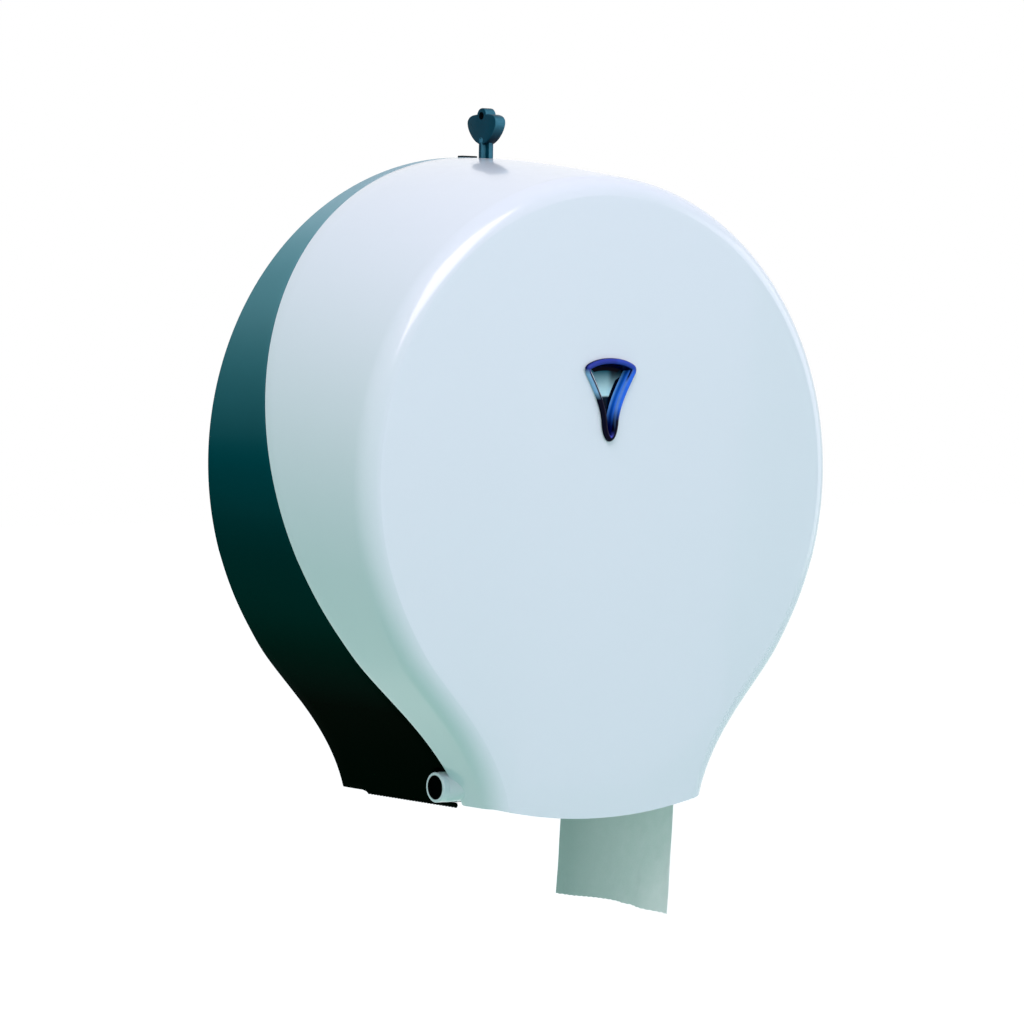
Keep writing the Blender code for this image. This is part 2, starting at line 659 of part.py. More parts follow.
def wall_recess():
    """Shallow relief in the back, which leaves a rim, a centre pad and a pad at each fixing."""
    shape = bmesh.new()
    ring = [on_body(station, 0, WALL_RIM) for station in body_stations()]
    for end in (0, -1):
        ring[end].z += WALL_RIM
        ring[end].x = ring[end - (1 if end else -1)].x
    face = shape.faces.new([shape.verts.new(point - TO_ROOM * CUT_OVERRUN) for point in ring])
    pushed = bmesh.ops.extrude_face_region(shape, geom=[face])["geom"]
    moved = [item for item in pushed if isinstance(item, bmesh.types.BMVert)]
    bmesh.ops.translate(shape, verts=moved, vec=TO_ROOM * (CUT_OVERRUN + WALL_RECESS))
    return shape


def fixing_places():
    return [
        (side * FIXING_HALF_SPAN, SPINDLE_HEIGHT + level * FIXING_RISE, level)
        for level in (1, -1)
        for side in (-1, 1)
    ]


def build_rear_shell(finish):
    """Dished back shell with its lip, hinge lugs, pads, wall fixings and the low ridge on its top."""
    shell = piece("rear_shell", dish(shell_section, 0, NECK_HALF_WIDTH), finish)

    pads = []
    places = [(FIXING_PAD_RADIUS, x, height) for x, height, _ in fixing_places()]
    for radius, x, height in [(SPINDLE_PAD_RADIUS, 0, SPINDLE_HEIGHT)] + places:
        start = spot(x, -2 * CUT_OVERRUN, height)
        pads.append(rod(radius, start, spot(x, WALL_RECESS + CUT_OVERRUN, height)))
    relief = tool("helper_wall_recess", wall_recess(), finish)
    keep = tool("helper_wall_pads", joined(*pads), finish)
    combine(relief, "DIFFERENCE", keep)
    combine(shell, "DIFFERENCE", relief)

    boss_low = spot(
        -STRIKE_HALF_WIDTH - STRIKE_BOSS_MARGIN,
        SHELL_PLATE + STRIKE_BOSS,
        STRIKE_FOOT_HEIGHT - STRIKE_BOSS_MARGIN,
    )
    boss_high = spot(
        STRIKE_HALF_WIDTH + STRIKE_BOSS_MARGIN,
        SHELL_PLATE / 2,
        STRIKE_TOP_HEIGHT + STRIKE_BOSS_MARGIN,
    )
    pad = rod(
        SPINDLE_PAD_RADIUS,
        spot(0, SHELL_PLATE / 2, SPINDLE_HEIGHT),
        spot(0, SHELL_PLATE + SPINDLE_PAD_HEIGHT, SPINDLE_HEIGHT),
        2 * ROUND_STEPS,
    )
    ridge = block(
        spot(-RIDGE_HALF_WIDTH, RIDGE_FRONT_DEPTH, SHELL_TOP_HEIGHT - SHELL_WALL / 2),
        spot(RIDGE_HALF_WIDTH, RIDGE_FRONT_DEPTH - RIDGE_LENGTH, SHELL_TOP_HEIGHT + RIDGE_RISE),
    )
    fittings = joined(block(boss_low, boss_high), pad, ridge)
    combine(shell, "UNION", tool("helper_fittings", fittings, finish))

    cuts = [notch(side) for side in (-1, 1)]
    for x, height, level in fixing_places():
        if level > 0:
            entry, slot = keyhole(x, height)
            tall = tool(f"helper_keyhole_{'left' if x < 0 else 'right'}", entry, finish)
            combine(tall, "UNION", tool(f"helper_slot_{'left' if x < 0 else 'right'}", slot, finish))
            combine(shell, "DIFFERENCE", tall)
        else:
            start = spot(x, -CUT_OVERRUN, height)
            cuts.append(rod(FIXING_HOLE_RADIUS, start, spot(x, SHELL_PLATE + CUT_OVERRUN, height)))
    for x, z in spindle_screw_places():
        seat = spot(x, SPINDLE_SEAT + AXLE_FLANGE, SPINDLE_HEIGHT + z)
        cuts.append(screw_hole(seat, 0, SCREW_LENGTH))
    for side in (-1, 1):
        seat = spot(side * STRIKE_SCREW_SPAN, STRIKE_FRONT_DEPTH, STRIKE_SCREW_HEIGHT)
        cuts.append(screw_hole(seat, 0, STRIKE_SCREW_LENGTH))
    combine(shell, "DIFFERENCE", tool("helper_shell_cuts", joined(*cuts), finish))

    for side, word in ((-1, "left"), (1, "right")):
        ear = tool(f"helper_ear_{word}", lug_ear(side), finish)
        combine(ear, "UNION", tool(f"helper_lug_block_{word}", lug_block(side), finish))
        combine(shell, "UNION", ear)
    bores = []
    for side in (-1, 1):
        bores.append(hinge_line(side, LUG_INNER - CUT_OVERRUN, LUG_OUTER + CUT_OVERRUN, BARREL_BORE_RADIUS))
    combine(shell, "DIFFERENCE", tool("helper_lug_bores", joined(*bores), finish))
    seats = []
    for side in (-1, 1):
        floor = LUG_INNER + PIN_HEAD + FIT_GAP
        radius = PIN_HEAD_RADIUS + FIT_GAP
        seats.append(hinge_line(side, LUG_INNER - CUT_OVERRUN, floor, radius, 2 * ROD_TWIST))
    combine(shell, "DIFFERENCE", tool("helper_pin_seats", joined(*seats), finish))
    return shell


def build_cover(finish, carrier):
    """Drop-down cover with its two hinge barrels, window hole, key hole and lock collar."""
    half = NECK_HALF_WIDTH * FRONT_SHARE - COVER_WALL
    cover = piece("cover", dish(cover_section, APRON_SAG, half), finish, carrier)
    for side, word in ((-1, "left"), (1, "right")):
        combine(cover, "UNION", tool(f"helper_barrel_{word}", barrel(side), finish))

    lock = spot(0, LOCK_DEPTH, LOCK_TOP_HEIGHT)
    collar = rod(
        COLLAR_INNER_RADIUS + COLLAR_WALL,
        lock - UP * COLLAR_DROP,
        lock + UP * COLLAR_ROOT,
        2 * ROUND_STEPS,
    )
    combine(cover, "UNION", tool("helper_collar", collar, finish))

    bores = []
    for side in (-1, 1):
        near, far = BARREL_ROOT - CUT_OVERRUN, BARREL_END + CUT_OVERRUN
        bores.append(hinge_line(side, near, far, BARREL_BORE_RADIUS, 2 * ROD_TWIST))
    hole = window_loop(WINDOW_FLANGE - FIT_GAP, DEPTH - COVER_WALL - CUT_OVERRUN)
    bores.append(slab(hole, TO_ROOM * (COVER_WALL + 2 * CUT_OVERRUN)))
    bores.append(rod(COLLAR_INNER_RADIUS, lock - UP * (COLLAR_DROP + CUT_OVERRUN), lock + UP * FIT_GAP))
    combine(cover, "DIFFERENCE", tool("helper_cover_bores", joined(*bores), finish))
    keyway = rod(KEYWAY_RADIUS, lock, lock + UP * (COVER_WALL + 2 * CUT_OVERRUN))
    combine(cover, "DIFFERENCE", tool("helper_keyway", keyway, finish))
    return cover


def bezier_half(pieces, steps):
    """Points of one half of an outline that is given as Bezier pieces, in shares."""
    points = []
    for piece_shares in pieces:
        part = interpolate_bezier(*[Vector(share) for share in piece_shares], steps + 1)
        points += [(point.x, point.y) for point in part[:-1]]
    return points + [tuple(pieces[-1][-1])]


def closed_outline(pieces, steps, half_width, height):
    """The whole outline from its foot up the right side, over the top and down the left side."""
    right = [(x * half_width, y * height) for x, y in bezier_half(pieces, steps)]
    return right + [(-x, y) for x, y in right[-2:0:-1]]


def moved_in(points, inset):
    """An outline moved inward along its own normals."""
    moved = []
    for i, point in enumerate(points):
        after = Vector(points[(i + 1) % len(points)])
        before = Vector(points[i - 1])
        along = (after - before).normalized()
        moved.append((point[0] - along.y * inset, point[1] + along.x * inset))
    return moved


def window_loop(inset, depth):
    outline = closed_outline(WINDOW_OUTLINE_SHARES, WINDOW_STEPS, WINDOW_HALF_WIDTH, WINDOW_HEIGHT)
    return [spot(x, depth, WINDOW_TIP_HEIGHT + z) for x, z in moved_in(outline, inset)]


def build_level_window(finish, carrier):
    """Clear lens with a raised rim, a sunk pane and a hollow plug that goes through the cover."""
    seat = DEPTH + FIT_GAP
    top = DEPTH + WINDOW_RIM_RISE
    pane = top - WINDOW_PANE_DROP
    plug_end = seat - WINDOW_PLUG_LENGTH
    rim_inner = WINDOW_RIM_BEVEL + WINDOW_RIM_WIDTH
    hollow = WINDOW_FLANGE + WINDOW_WALL
    loops = (
        window_loop(hollow, pane - WINDOW_WALL),
        window_loop(hollow, plug_end),
        window_loop(WINDOW_FLANGE, plug_end),
        window_loop(WINDOW_FLANGE, seat),
        window_loop(0, seat),
        window_loop(0, top - WINDOW_RIM_BEVEL),
        window_loop(WINDOW_RIM_BEVEL, top),
        window_loop(rim_inner, top),
        window_loop(rim_inner + WINDOW_RIM_BEVEL / 2, pane),
    )
    piece("level_window", lofted(loops), finish, carrier)


def ring_between(*loops):
    """A closed frame through loops of equal count, the last joined to the first."""
    shape = bmesh.new()
    rings = [[shape.verts.new(point) for point in loop] for loop in loops]
    for low, high in zip(rings, rings[1:] + rings[:1]):
        for i in range(len(low)):
            j = (i + 1) % len(low)
            shape.faces.new((low[i], low[j], high[j], high[i]))
    return shape


def build_window_clip(finish, carrier):
    """Frame pushed over the lens plug from inside the cover."""
    near = DEPTH - COVER_WALL - FIT_GAP
    far = near - CLIP_THICKNESS
    inner = WINDOW_FLANGE - FIT_GAP
    outer = inner - CLIP_WIDTH
    frame = ring_between(
        window_loop(inner, near), window_loop(outer, near), window_loop(outer, far), window_loop(inner, far)
    )
    piece("window_clip", frame, finish, carrier)


def screw(name, seat, away, finish, length=SCREW_LENGTH, radius=SCREW_RADIUS, carrier=None):
    """Pan-head screw. The seat is where its head rests, and away points out of the head."""
    profile = (
        (radius, -length),
        (radius, 0),
        (SCREW_HEAD_RADIUS, 0),
        (SCREW_HEAD_RADIUS, SCREW_HEAD / 2),
        (SCREW_HEAD_RADIUS * SCREW_CROWN_SHARE, SCREW_HEAD),
    )
    return piece(name, turned(profile, seat, away, ROUND_STEPS // 2), finish, carrier)


def build_hinge_pins(finish):
    """Headed pins pushed through the lugs from inside, on which the cover's barrels turn."""
    for side, word in ((-1, "left"), (1, "right")):
        length = BARREL_END - PIN_SINK - LUG_INNER
        profile = (
            (PIN_HEAD_RADIUS, 0),
            (PIN_HEAD_RADIUS, PIN_HEAD),
            (PIN_RADIUS, PIN_HEAD),
            (PIN_RADIUS, length),
        )
        start = spot(side * LUG_INNER, HINGE_DEPTH, HINGE_HEIGHT)
        piece(f"hinge_pin_{word}", turned(profile, start, RIGHT * side), finish)


def build_tear_strips(finish):
    """Toothed strips inside the bottom edges of the side walls."""
    lean = 1 / math.tan(NECK_FOOT_ANGLE)
    outline = [
        (STRIP_END_DEPTH, STRIP_TONGUE_RISE),
        (STRIP_STEP_DEPTH, STRIP_TONGUE_RISE),
        (STRIP_STEP_DEPTH, STRIP_RISE),
        (STRIP_START_DEPTH, STRIP_RISE),
        (STRIP_START_DEPTH, -FIT_GAP),
    ]
    teeth = int((STRIP_END_DEPTH - STRIP_START_DEPTH) / TOOTH_PITCH) - 1
    first = STRIP_END_DEPTH - teeth * TOOTH_PITCH
    for i in range(teeth):
        start = first + i * TOOTH_PITCH
        outline.append((start, -STRIP_VALLEY_DROP))
        outline.append((start + TOOTH_PITCH / 2, -STRIP_VALLEY_DROP - TOOTH_DEPTH))
    outline.append((STRIP_END_DEPTH, -STRIP_VALLEY_DROP))
    for side, word in ((-1, "left"), (1, "right")):
        points = []
        for depth, height in outline:
            wall = NECK_HALF_WIDTH * shrink_at(depth) - SHELL_WALL - FIT_GAP
            points.append(spot(side * (wall + height * lean), depth, height))
        piece(f"cutter_{word}", slab(points, -RIGHT * side * STRIP_THICKNESS), finish)


def build_spindle(plastic, steel):
    """Fixed axle with a screwed flange, and the cap that keeps the hub on it."""
    base = SPINDLE_SEAT
    end = ROLL_BACK_DEPTH + ROLL_WIDTH
    centre = spot(0, base, SPINDLE_HEIGHT)
    length = end - base
    hole = SCREW_RADIUS + SCREW_HOLE_GAP
    hole_end = length - SCREW_LENGTH + RETAINER_THICKNESS - SCREW_END_GAP
    profile = (
        (AXLE_FLANGE_RADIUS, 0),
        (AXLE_FLANGE_RADIUS, AXLE_FLANGE),
        (AXLE_RADIUS, AXLE_FLANGE),
        (AXLE_RADIUS, length),
        (hole, length),
        (hole, hole_end),
    )
    axle = piece("spindle", turned(profile, centre, TO_ROOM, 2 * ROUND_STEPS), plastic)
    holes = []
    for number, (x, z) in enumerate(spindle_screw_places(), 1):
        seat = spot(x, base + AXLE_FLANGE, SPINDLE_HEIGHT + z)
        holes.append(screw_hole(seat, CUT_OVERRUN, SCREW_LENGTH))
        screw(f"spindle_screw_{number}", seat + TO_ROOM * FIT_GAP, TO_ROOM, steel)
    combine(axle, "DIFFERENCE", tool("helper_axle_holes", joined(*holes), plastic))

    cap_seat = centre + TO_ROOM * (length + FIT_GAP)
    cap = (
        (hole, 0),
        (RETAINER_RADIUS, 0),
        (RETAINER_RADIUS, RETAINER_THICKNESS),
        (hole, RETAINER_THICKNESS),
        (hole, 0),
    )
    piece("hub_retainer", turned(cap, cap_seat, TO_ROOM, 2 * ROUND_STEPS), plastic)
    screw("retainer_screw", cap_seat + TO_ROOM * (RETAINER_THICKNESS + FIT_GAP), TO_ROOM, steel)


def build_roll(hub_finish, core_finish, paper_finish, carrier):
    """Ribbed hub that turns on the axle, the card core on it and the wound paper."""
    start = SPINDLE_SEAT + AXLE_FLANGE + FIT_GAP
    end = ROLL_BACK_DEPTH + ROLL_WIDTH - FIT_GAP
    flange_back = ROLL_BACK_DEPTH - FIT_GAP - HUB_FLANGE
    sleeve_inner = AXLE_RADIUS + FIT_GAP
    sleeve_outer = sleeve_inner + HUB_WALL
    drum_outer = CORE_OUTER_RADIUS - CORE_WALL - CORE_PLAY
    drum_inner = drum_outer - HUB_WALL
    drum_end = end - HUB_OVERHANG
    profile = (
        (sleeve_inner, start),
        (sleeve_outer, start),
        (sleeve_outer, flange_back),
        (HUB_FLANGE_RADIUS, flange_back),
        (HUB_FLANGE_RADIUS, flange_back + HUB_FLANGE),
        (drum_outer, flange_back + HUB_FLANGE),
        (drum_outer, drum_end),
        (drum_inner, drum_end),
        (drum_inner, flange_back + HUB_FLANGE),
        (sleeve_outer, flange_back + HUB_FLANGE),
        (sleeve_outer, end),
        (sleeve_inner, end),
        (sleeve_inner, start),
    )
    axis_foot = spot(0, 0, SPINDLE_HEIGHT)
    hub = piece("roll_hub", turned(profile, axis_foot, TO_ROOM, 2 * ROUND_STEPS), hub_finish, carrier)
    middle = (sleeve_inner + sleeve_outer) / 2
    reach = (drum_inner + drum_outer) / 2
    for i in range(HUB_RIBS):
        low = Vector((middle, -(drum_end - HUB_OVERHANG), -HUB_RIB / 2))
        high = Vector((reach, -(flange_back + HUB_FLANGE / 2), HUB_RIB / 2))
        rib = block(low, high)
        turn = Matrix.Rotation(math.tau * i / HUB_RIBS, 3, TO_ROOM)
        bmesh.ops.rotate(rib, verts=rib.verts[:], cent=axis_foot, matrix=turn)
        combine(hub, "UNION", tool(f"helper_rib_{i + 1}", rib, hub_finish))

    for name, inner, outer, finish in (
        ("roll_core", CORE_OUTER_RADIUS - CORE_WALL, CORE_OUTER_RADIUS, core_finish),
        ("paper_roll", CORE_OUTER_RADIUS + FIT_GAP, ROLL_RADIUS, paper_finish),
    ):
        ring = (
            (inner, ROLL_BACK_DEPTH),
            (outer, ROLL_BACK_DEPTH),
            (outer, ROLL_BACK_DEPTH + ROLL_WIDTH),
            (inner, ROLL_BACK_DEPTH + ROLL_WIDTH),
            (inner, ROLL_BACK_DEPTH),
        )
        piece(name, turned(ring, axis_foot, TO_ROOM, ROLL_STEPS), finish, carrier)


def tail_path():
    """Path of the free paper as (x, height, share of the hanging length): off the roll, down to the
    outlet, and then hanging with a little of the roll's curl."""
    reach = ROLL_RADIUS + TAIL_ROLL_GAP
    outlet = Vector((TAIL_OUTLET_HALF, TAIL_OUTLET_HEIGHT))
    from_axis = outlet - Vector((0, SPINDLE_HEIGHT))
    below = math.atan2(-from_axis.y, from_axis.x)
    angle = below - math.acos(reach / from_axis.length) - TAIL_LEAVE_LEAD
    sine, cosine = math.sin(angle), math.cos(angle)
    leave = Vector((reach * cosine, SPINDLE_HEIGHT - reach * sine))
    free = (leave - outlet).length
    inside = interpolate_bezier(
        leave,
        leave - Vector((sine, cosine)) * free * TAIL_LEAVE_PULL_SHARE,
        outlet + Vector((TAIL_OUTLET_LEAN_SHARE, 1)) * free * TAIL_OUTLET_PULL_SHARE,
        outlet,
        TAIL_INNER_STEPS + 1,
    )
    path = [(point.x, point.y, 0) for point in inside]
    for i in range(1, TAIL_HANGING_STEPS + 1):
        share = i / TAIL_HANGING_STEPS
        height = TAIL_OUTLET_HEIGHT - (TAIL_OUTLET_HEIGHT + TAIL_DROP) * share
        path.append((TAIL_OUTLET_HALF - TAIL_CURL * share, height, share))
    return path


def tail_fold(across, share):
    """How far the hanging paper is pushed sideways by its soft upright folds."""
    push = 0
    for place, width, size in TAIL_FOLDS_SHARES:
        push += size * math.exp(-(((across - place) / width) ** 2))
    return -TAIL_FOLD * push * share ** 2


def build_paper_tail(finish):
    """The free end of the paper, as one thin folded solid."""
    shape = bmesh.new()
    layers = []
    for face in (0, -TAIL_THICKNESS):
        layer = []
        for x, height, share in tail_path():
            row = []
            for j in range(TAIL_WIDTH_STEPS + 1):
                across = j / TAIL_WIDTH_STEPS
                depth = ROLL_BACK_DEPTH + ROLL_WIDTH * across
                torn = TAIL_TORN_RISE * math.sin(math.pi * across) ** 2 * share ** 4
                row.append(shape.verts.new(spot(x + face + tail_fold(across, share), depth, height + torn)))
            layer.append(row)
        layers.append(layer)
    outer, inner = layers
    last = TAIL_WIDTH_STEPS
    for layer in layers:
        for low, high in zip(layer, layer[1:]):
            for j in range(last):
                shape.faces.new((low[j], low[j + 1], high[j + 1], high[j]))
    for j in range(last):
        for k in (0, -1):
            shape.faces.new((outer[k][j], outer[k][j + 1], inner[k][j + 1], inner[k][j]))
    for i in range(len(outer) - 1):
        for j in (0, last):
            shape.faces.new((outer[i][j], outer[i + 1][j], inner[i + 1][j], inner[i][j]))
    piece("paper_tail", shape, finish)


def build_strike(finish, steel):
    """Hooked bracket on the shell that the lock's cam turns in behind."""
    root = STRIKE_SEAT + STRIKE_PLATE / 2
    plate = block(
        spot(-STRIKE_HALF_WIDTH, STRIKE_FRONT_DEPTH, STRIKE_FOOT_HEIGHT),
        spot(STRIKE_HALF_WIDTH, STRIKE_SEAT, STRIKE_TOP_HEIGHT),
    )
    hook_outline = (
        (root, STRIKE_FOOT_HEIGHT),
        (STRIKE_HOOK_BACK_DEPTH, STRIKE_FOOT_HEIGHT),
        (STRIKE_HOOK_BACK_DEPTH, STRIKE_HOOK_FOOT_HEIGHT),
        (STRIKE_HOOK_FRONT_DEPTH, STRIKE_HOOK_FOOT_HEIGHT),
        (STRIKE_HOOK_FRONT_DEPTH, STRIKE_FOOT_HEIGHT + STRIKE_PLATE),
        (root, STRIKE_FOOT_HEIGHT + STRIKE_PLATE),
    )
    hook = side_slab(1, -STRIKE_HOOK_HALF_WIDTH, STRIKE_HOOK_HALF_WIDTH, hook_outline)
    strike = piece("lock_strike", plate, finish)
    combine(strike, "UNION", tool("helper_strike_hook", hook, finish))
    holes = []
    for side, word in ((-1, "left"), (1, "right")):
        head = spot(side * STRIKE_SCREW_SPAN, STRIKE_FRONT_DEPTH, STRIKE_SCREW_HEIGHT)
        holes.append(screw_hole(head, CUT_OVERRUN, STRIKE_SCREW_LENGTH))
        screw(f"strike_screw_{word}", head + TO_ROOM * FIT_GAP, TO_ROOM, steel, STRIKE_SCREW_LENGTH)
    combine(strike, "DIFFERENCE", tool("helper_strike_holes", joined(*holes), finish))


def cross(centre, width, thickness, drop, rise):
    """Two crossed blades on an upright axis, from below the centre to above it."""
    blades = []
    for half_x, half_y in ((width / 2, thickness / 2), (thickness / 2, width / 2)):
        low = centre + Vector((-half_x, -half_y, -drop))
        blades.append(block(low, centre + Vector((half_x, half_y, rise))))
    return blades


def build_lock(plastic, metal, steel, cover_carrier, lock_carrier):
    """Housing in the cover's collar, the plug that the key turns, its hooked cam and the cam's screw."""
    top = spot(0, LOCK_DEPTH, LOCK_TOP_HEIGHT)
    inner = PLUG_RADIUS + FIT_GAP
    housing = (
        (KEYWAY_RADIUS, 0),
        (HOUSING_RADIUS, 0),
        (HOUSING_RADIUS, HOUSING_LENGTH),
        (inner, HOUSING_LENGTH),
        (inner, HOUSING_WEB),
        (KEYWAY_RADIUS, HOUSING_WEB),
        (KEYWAY_RADIUS, 0),
    )
    piece("lock_housing", turned(housing, top, -UP), plastic, cover_carrier)

    hole = CAM_SCREW_RADIUS + SCREW_HOLE_GAP
    plug = (
        (PLUG_RADIUS, PLUG_TOP),
        (PLUG_RADIUS, PLUG_FOOT),
        (hole, PLUG_FOOT),
        (hole, CAM_SCREW_TIP),
    )
    barrel_piece = piece("lock_barrel", turned(plug, top, -UP), metal, lock_carrier)
    socket_top = top - UP * PLUG_TOP
    socket = cross(
        socket_top,
        KEY_BLADE_WIDTH + 2 * FIT_GAP,
        KEY_BLADE_THICKNESS + 2 * FIT_GAP,
        SOCKET_DEPTH,
        CUT_OVERRUN,
    )
    for word, blade in zip(("across", "along"), socket):
        combine(barrel_piece, "DIFFERENCE", tool(f"helper_socket_{word}", blade, metal))

    cam_top = spot(0, LOCK_DEPTH, CAM_TOP_HEIGHT)
    disc = ((PLUG_RADIUS, 0), (PLUG_RADIUS, CAM_THICKNESS))
    cam = piece("lock_cam", turned(disc, cam_top, -UP), steel, lock_carrier)
    half = CAM_WIDTH / 2
    hook_end = CAM_HOOK_REACH + CAM_HOOK
    arm = (
        (PLUG_RADIUS / 2, -CAM_THICKNESS),
        (hook_end, -CAM_THICKNESS),
        (hook_end, CAM_HOOK_RISE),
        (CAM_HOOK_REACH, CAM_HOOK_RISE),
        (CAM_HOOK_REACH, 0),
        (PLUG_RADIUS / 2, 0),
    )
    points = [cam_top + RIGHT * x + TO_ROOM * half + UP * z for x, z in arm]
    combine(cam, "UNION", tool("helper_cam_arm", slab(points, -TO_ROOM * CAM_WIDTH), steel))
    bore = rod(hole, cam_top - UP * (CAM_THICKNESS + CUT_OVERRUN), cam_top + UP * CUT_OVERRUN)
    combine(cam, "DIFFERENCE", tool("helper_cam_bore", bore, steel))
    seat = cam_top - UP * (CAM_THICKNESS + FIT_GAP)
    screw("cam_screw", seat, -UP, steel, CAM_SCREW_LENGTH, CAM_SCREW_RADIUS, lock_carrier)


def build_key(finish, carrier):
    """Moulded key: a flat round-shouldered head with an eye, on a cross-shaped blade."""
    foot = spot(0, LOCK_DEPTH, KEY_HEAD_FOOT_HEIGHT)
    half = KEY_THICKNESS / 2
    outline = closed_outline(KEY_OUTLINE_SHARES, KEY_STEPS, KEY_HALF_WIDTH, KEY_HEAD_HEIGHT)
    points = [foot - RIGHT * half + TO_ROOM * y + UP * z for y, z in outline]
    key = piece("key", slab(points, RIGHT * KEY_THICKNESS), finish, carrier)
    eye = foot + UP * KEY_EYE_RISE
    boss = rod(KEY_EYE_RADIUS, eye - RIGHT * half, eye + RIGHT * half)
    combine(key, "UNION", tool("helper_key_eye", boss, finish))
    socket_floor = LOCK_TOP_HEIGHT - PLUG_TOP - SOCKET_DEPTH
    blade_end = KEY_HEAD_FOOT_HEIGHT - socket_floor - FIT_GAP
    blades = cross(foot, KEY_BLADE_WIDTH, KEY_BLADE_THICKNESS, blade_end, KEY_BLADE_ROOT)
    for word, blade in zip(("across", "along"), blades):
        combine(key, "UNION", tool(f"helper_key_blade_{word}", blade, finish))
    through = half + CUT_OVERRUN
    hole = rod(KEY_EYE_HOLE_RADIUS, eye - RIGHT * through, eye + RIGHT * through)
    face = foot + UP * KEY_DIMPLE_RISE - RIGHT * half
    dimple = rod(KEY_DIMPLE_RADIUS, face - RIGHT * CUT_OVERRUN, face + RIGHT * KEY_DIMPLE_DEPTH)
    combine(key, "DIFFERENCE", tool("helper_key_holes", joined(hole, dimple), finish))


def build():
    clear_scene()
    white = material("cover_gloss", (0.80, 0.86, 0.88), 0.15)
    dark = material("shell_dark", (0.012, 0.075, 0.085), 0.3)
    blue = material("window_blue", (0.02, 0.08, 0.55), 0.05, alpha=0.6)
    grey = material("moulded_grey", (0.45, 0.48, 0.5), 0.4)
    petrol = material("key_petrol", (0.01, 0.06, 0.08), 0.35)
    steel = material("steel", (0.6, 0.6, 0.62), 0.3, metallic=1.0)
    paper = material("paper", (0.75, 0.8, 0.78), 0.9)
    card = material("card", (0.5, 0.42, 0.3), 0.9)

    hinge_axis = pivot("cover_hinge_axis", spot(0, HINGE_DEPTH, HINGE_HEIGHT))
    lock_axis = pivot("lock_axis", spot(0, LOCK_DEPTH, LOCK_TOP_HEIGHT))
    roll_axis = pivot("roll_axis", spot(0, 0, SPINDLE_HEIGHT))

    build_rear_shell(dark)
    build_tear_strips(dark)
    build_hinge_pins(dark)
    build_cover(white, hinge_axis)
    build_level_window(blue, hinge_axis)
    build_window_clip(grey, hinge_axis)
    build_lock(grey, grey, steel, hinge_axis, lock_axis)
    build_key(petrol, lock_axis)
    build_strike(grey, steel)
    build_spindle(grey, steel)
    build_roll(grey, card, paper, roll_axis)
    build_paper_tail(paper)


build()
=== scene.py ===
"""Looks of the wall-mounted jumbo toilet roll dispenser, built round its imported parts.

Blender 4.5. Metres, +Z up. The wall is the plane y = 0, the room lies towards -Y, and the origin is on
the axis of the roll. A depth is measured from the wall, and a height from the shell's bottom edge.
"""

import json
import math

import bmesh
import bpy
from mathutils import Matrix, Vector
from mathutils.geometry import interpolate_bezier

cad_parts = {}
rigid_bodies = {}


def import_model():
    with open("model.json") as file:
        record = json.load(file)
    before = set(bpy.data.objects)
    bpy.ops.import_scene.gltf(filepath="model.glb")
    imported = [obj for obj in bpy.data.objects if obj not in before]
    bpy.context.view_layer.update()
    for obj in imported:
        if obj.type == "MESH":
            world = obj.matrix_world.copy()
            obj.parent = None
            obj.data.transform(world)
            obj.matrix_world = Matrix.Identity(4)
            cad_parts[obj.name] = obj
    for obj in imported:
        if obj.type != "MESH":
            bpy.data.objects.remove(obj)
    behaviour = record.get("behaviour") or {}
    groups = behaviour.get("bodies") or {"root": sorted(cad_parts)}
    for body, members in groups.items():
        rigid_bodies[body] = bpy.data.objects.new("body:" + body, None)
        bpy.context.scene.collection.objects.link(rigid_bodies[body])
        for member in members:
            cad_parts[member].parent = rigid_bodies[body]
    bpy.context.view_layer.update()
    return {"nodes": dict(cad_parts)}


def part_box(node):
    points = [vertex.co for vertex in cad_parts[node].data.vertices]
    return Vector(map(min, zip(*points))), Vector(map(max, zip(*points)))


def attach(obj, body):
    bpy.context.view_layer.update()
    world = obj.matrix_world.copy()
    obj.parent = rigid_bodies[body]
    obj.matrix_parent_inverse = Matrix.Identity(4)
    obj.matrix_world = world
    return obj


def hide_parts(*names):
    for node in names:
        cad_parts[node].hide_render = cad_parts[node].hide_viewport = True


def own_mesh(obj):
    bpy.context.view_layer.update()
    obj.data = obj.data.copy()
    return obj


MM = 0.001
DEGREE = math.pi / 180

# Body: the outline at the wall is a circle on a short neck
DEPTH = 128 * MM
BODY_RADIUS = 163.5 * MM
BODY_CENTRE_HEIGHT = 178.5 * MM
KINK_ANGLE = 54.7 * DEGREE
NECK_HALF_WIDTH = 74.8 * MM
NECK_FOOT_ANGLE = 74.6 * DEGREE
NECK_FOOT_PULL = 40.8 * MM
NECK_TOP_ANGLE = 64.8 * DEGREE
NECK_TOP_PULL = 20.7 * MM
FRONT_SHARE = 0.946
TOP_DROOP = 6.1 * MM
TOP_DROOP_ONSET = 3
NECK_STEPS = 28
CIRCLE_STEPS = 96
SMOOTHING_PASSES = 10
BODY_HEIGHT = BODY_CENTRE_HEIGHT + BODY_RADIUS
SPINDLE_HEIGHT = 172 * MM

# The slanted joint between shell and cover
PARTING_TOP_DEPTH = 6.3 * MM
PARTING_FOOT_DEPTH = 101 * MM
FIT_GAP = 0.3 * MM
CUT_OVERRUN = 4 * MM

# Cover
COVER_WALL = 2.5 * MM
COVER_EDGE_RADIUS = 10.5 * MM
COVER_RIM_ROUND = 0.5 * MM
APRON_SAG = 8 * MM
EDGE_STEPS = 12
WALL_STEPS = 10
ROUND_EDGE_STEPS = 3
PLATE_EDGE_STEPS = 64
FOOT_BEVEL = 0.5 * MM

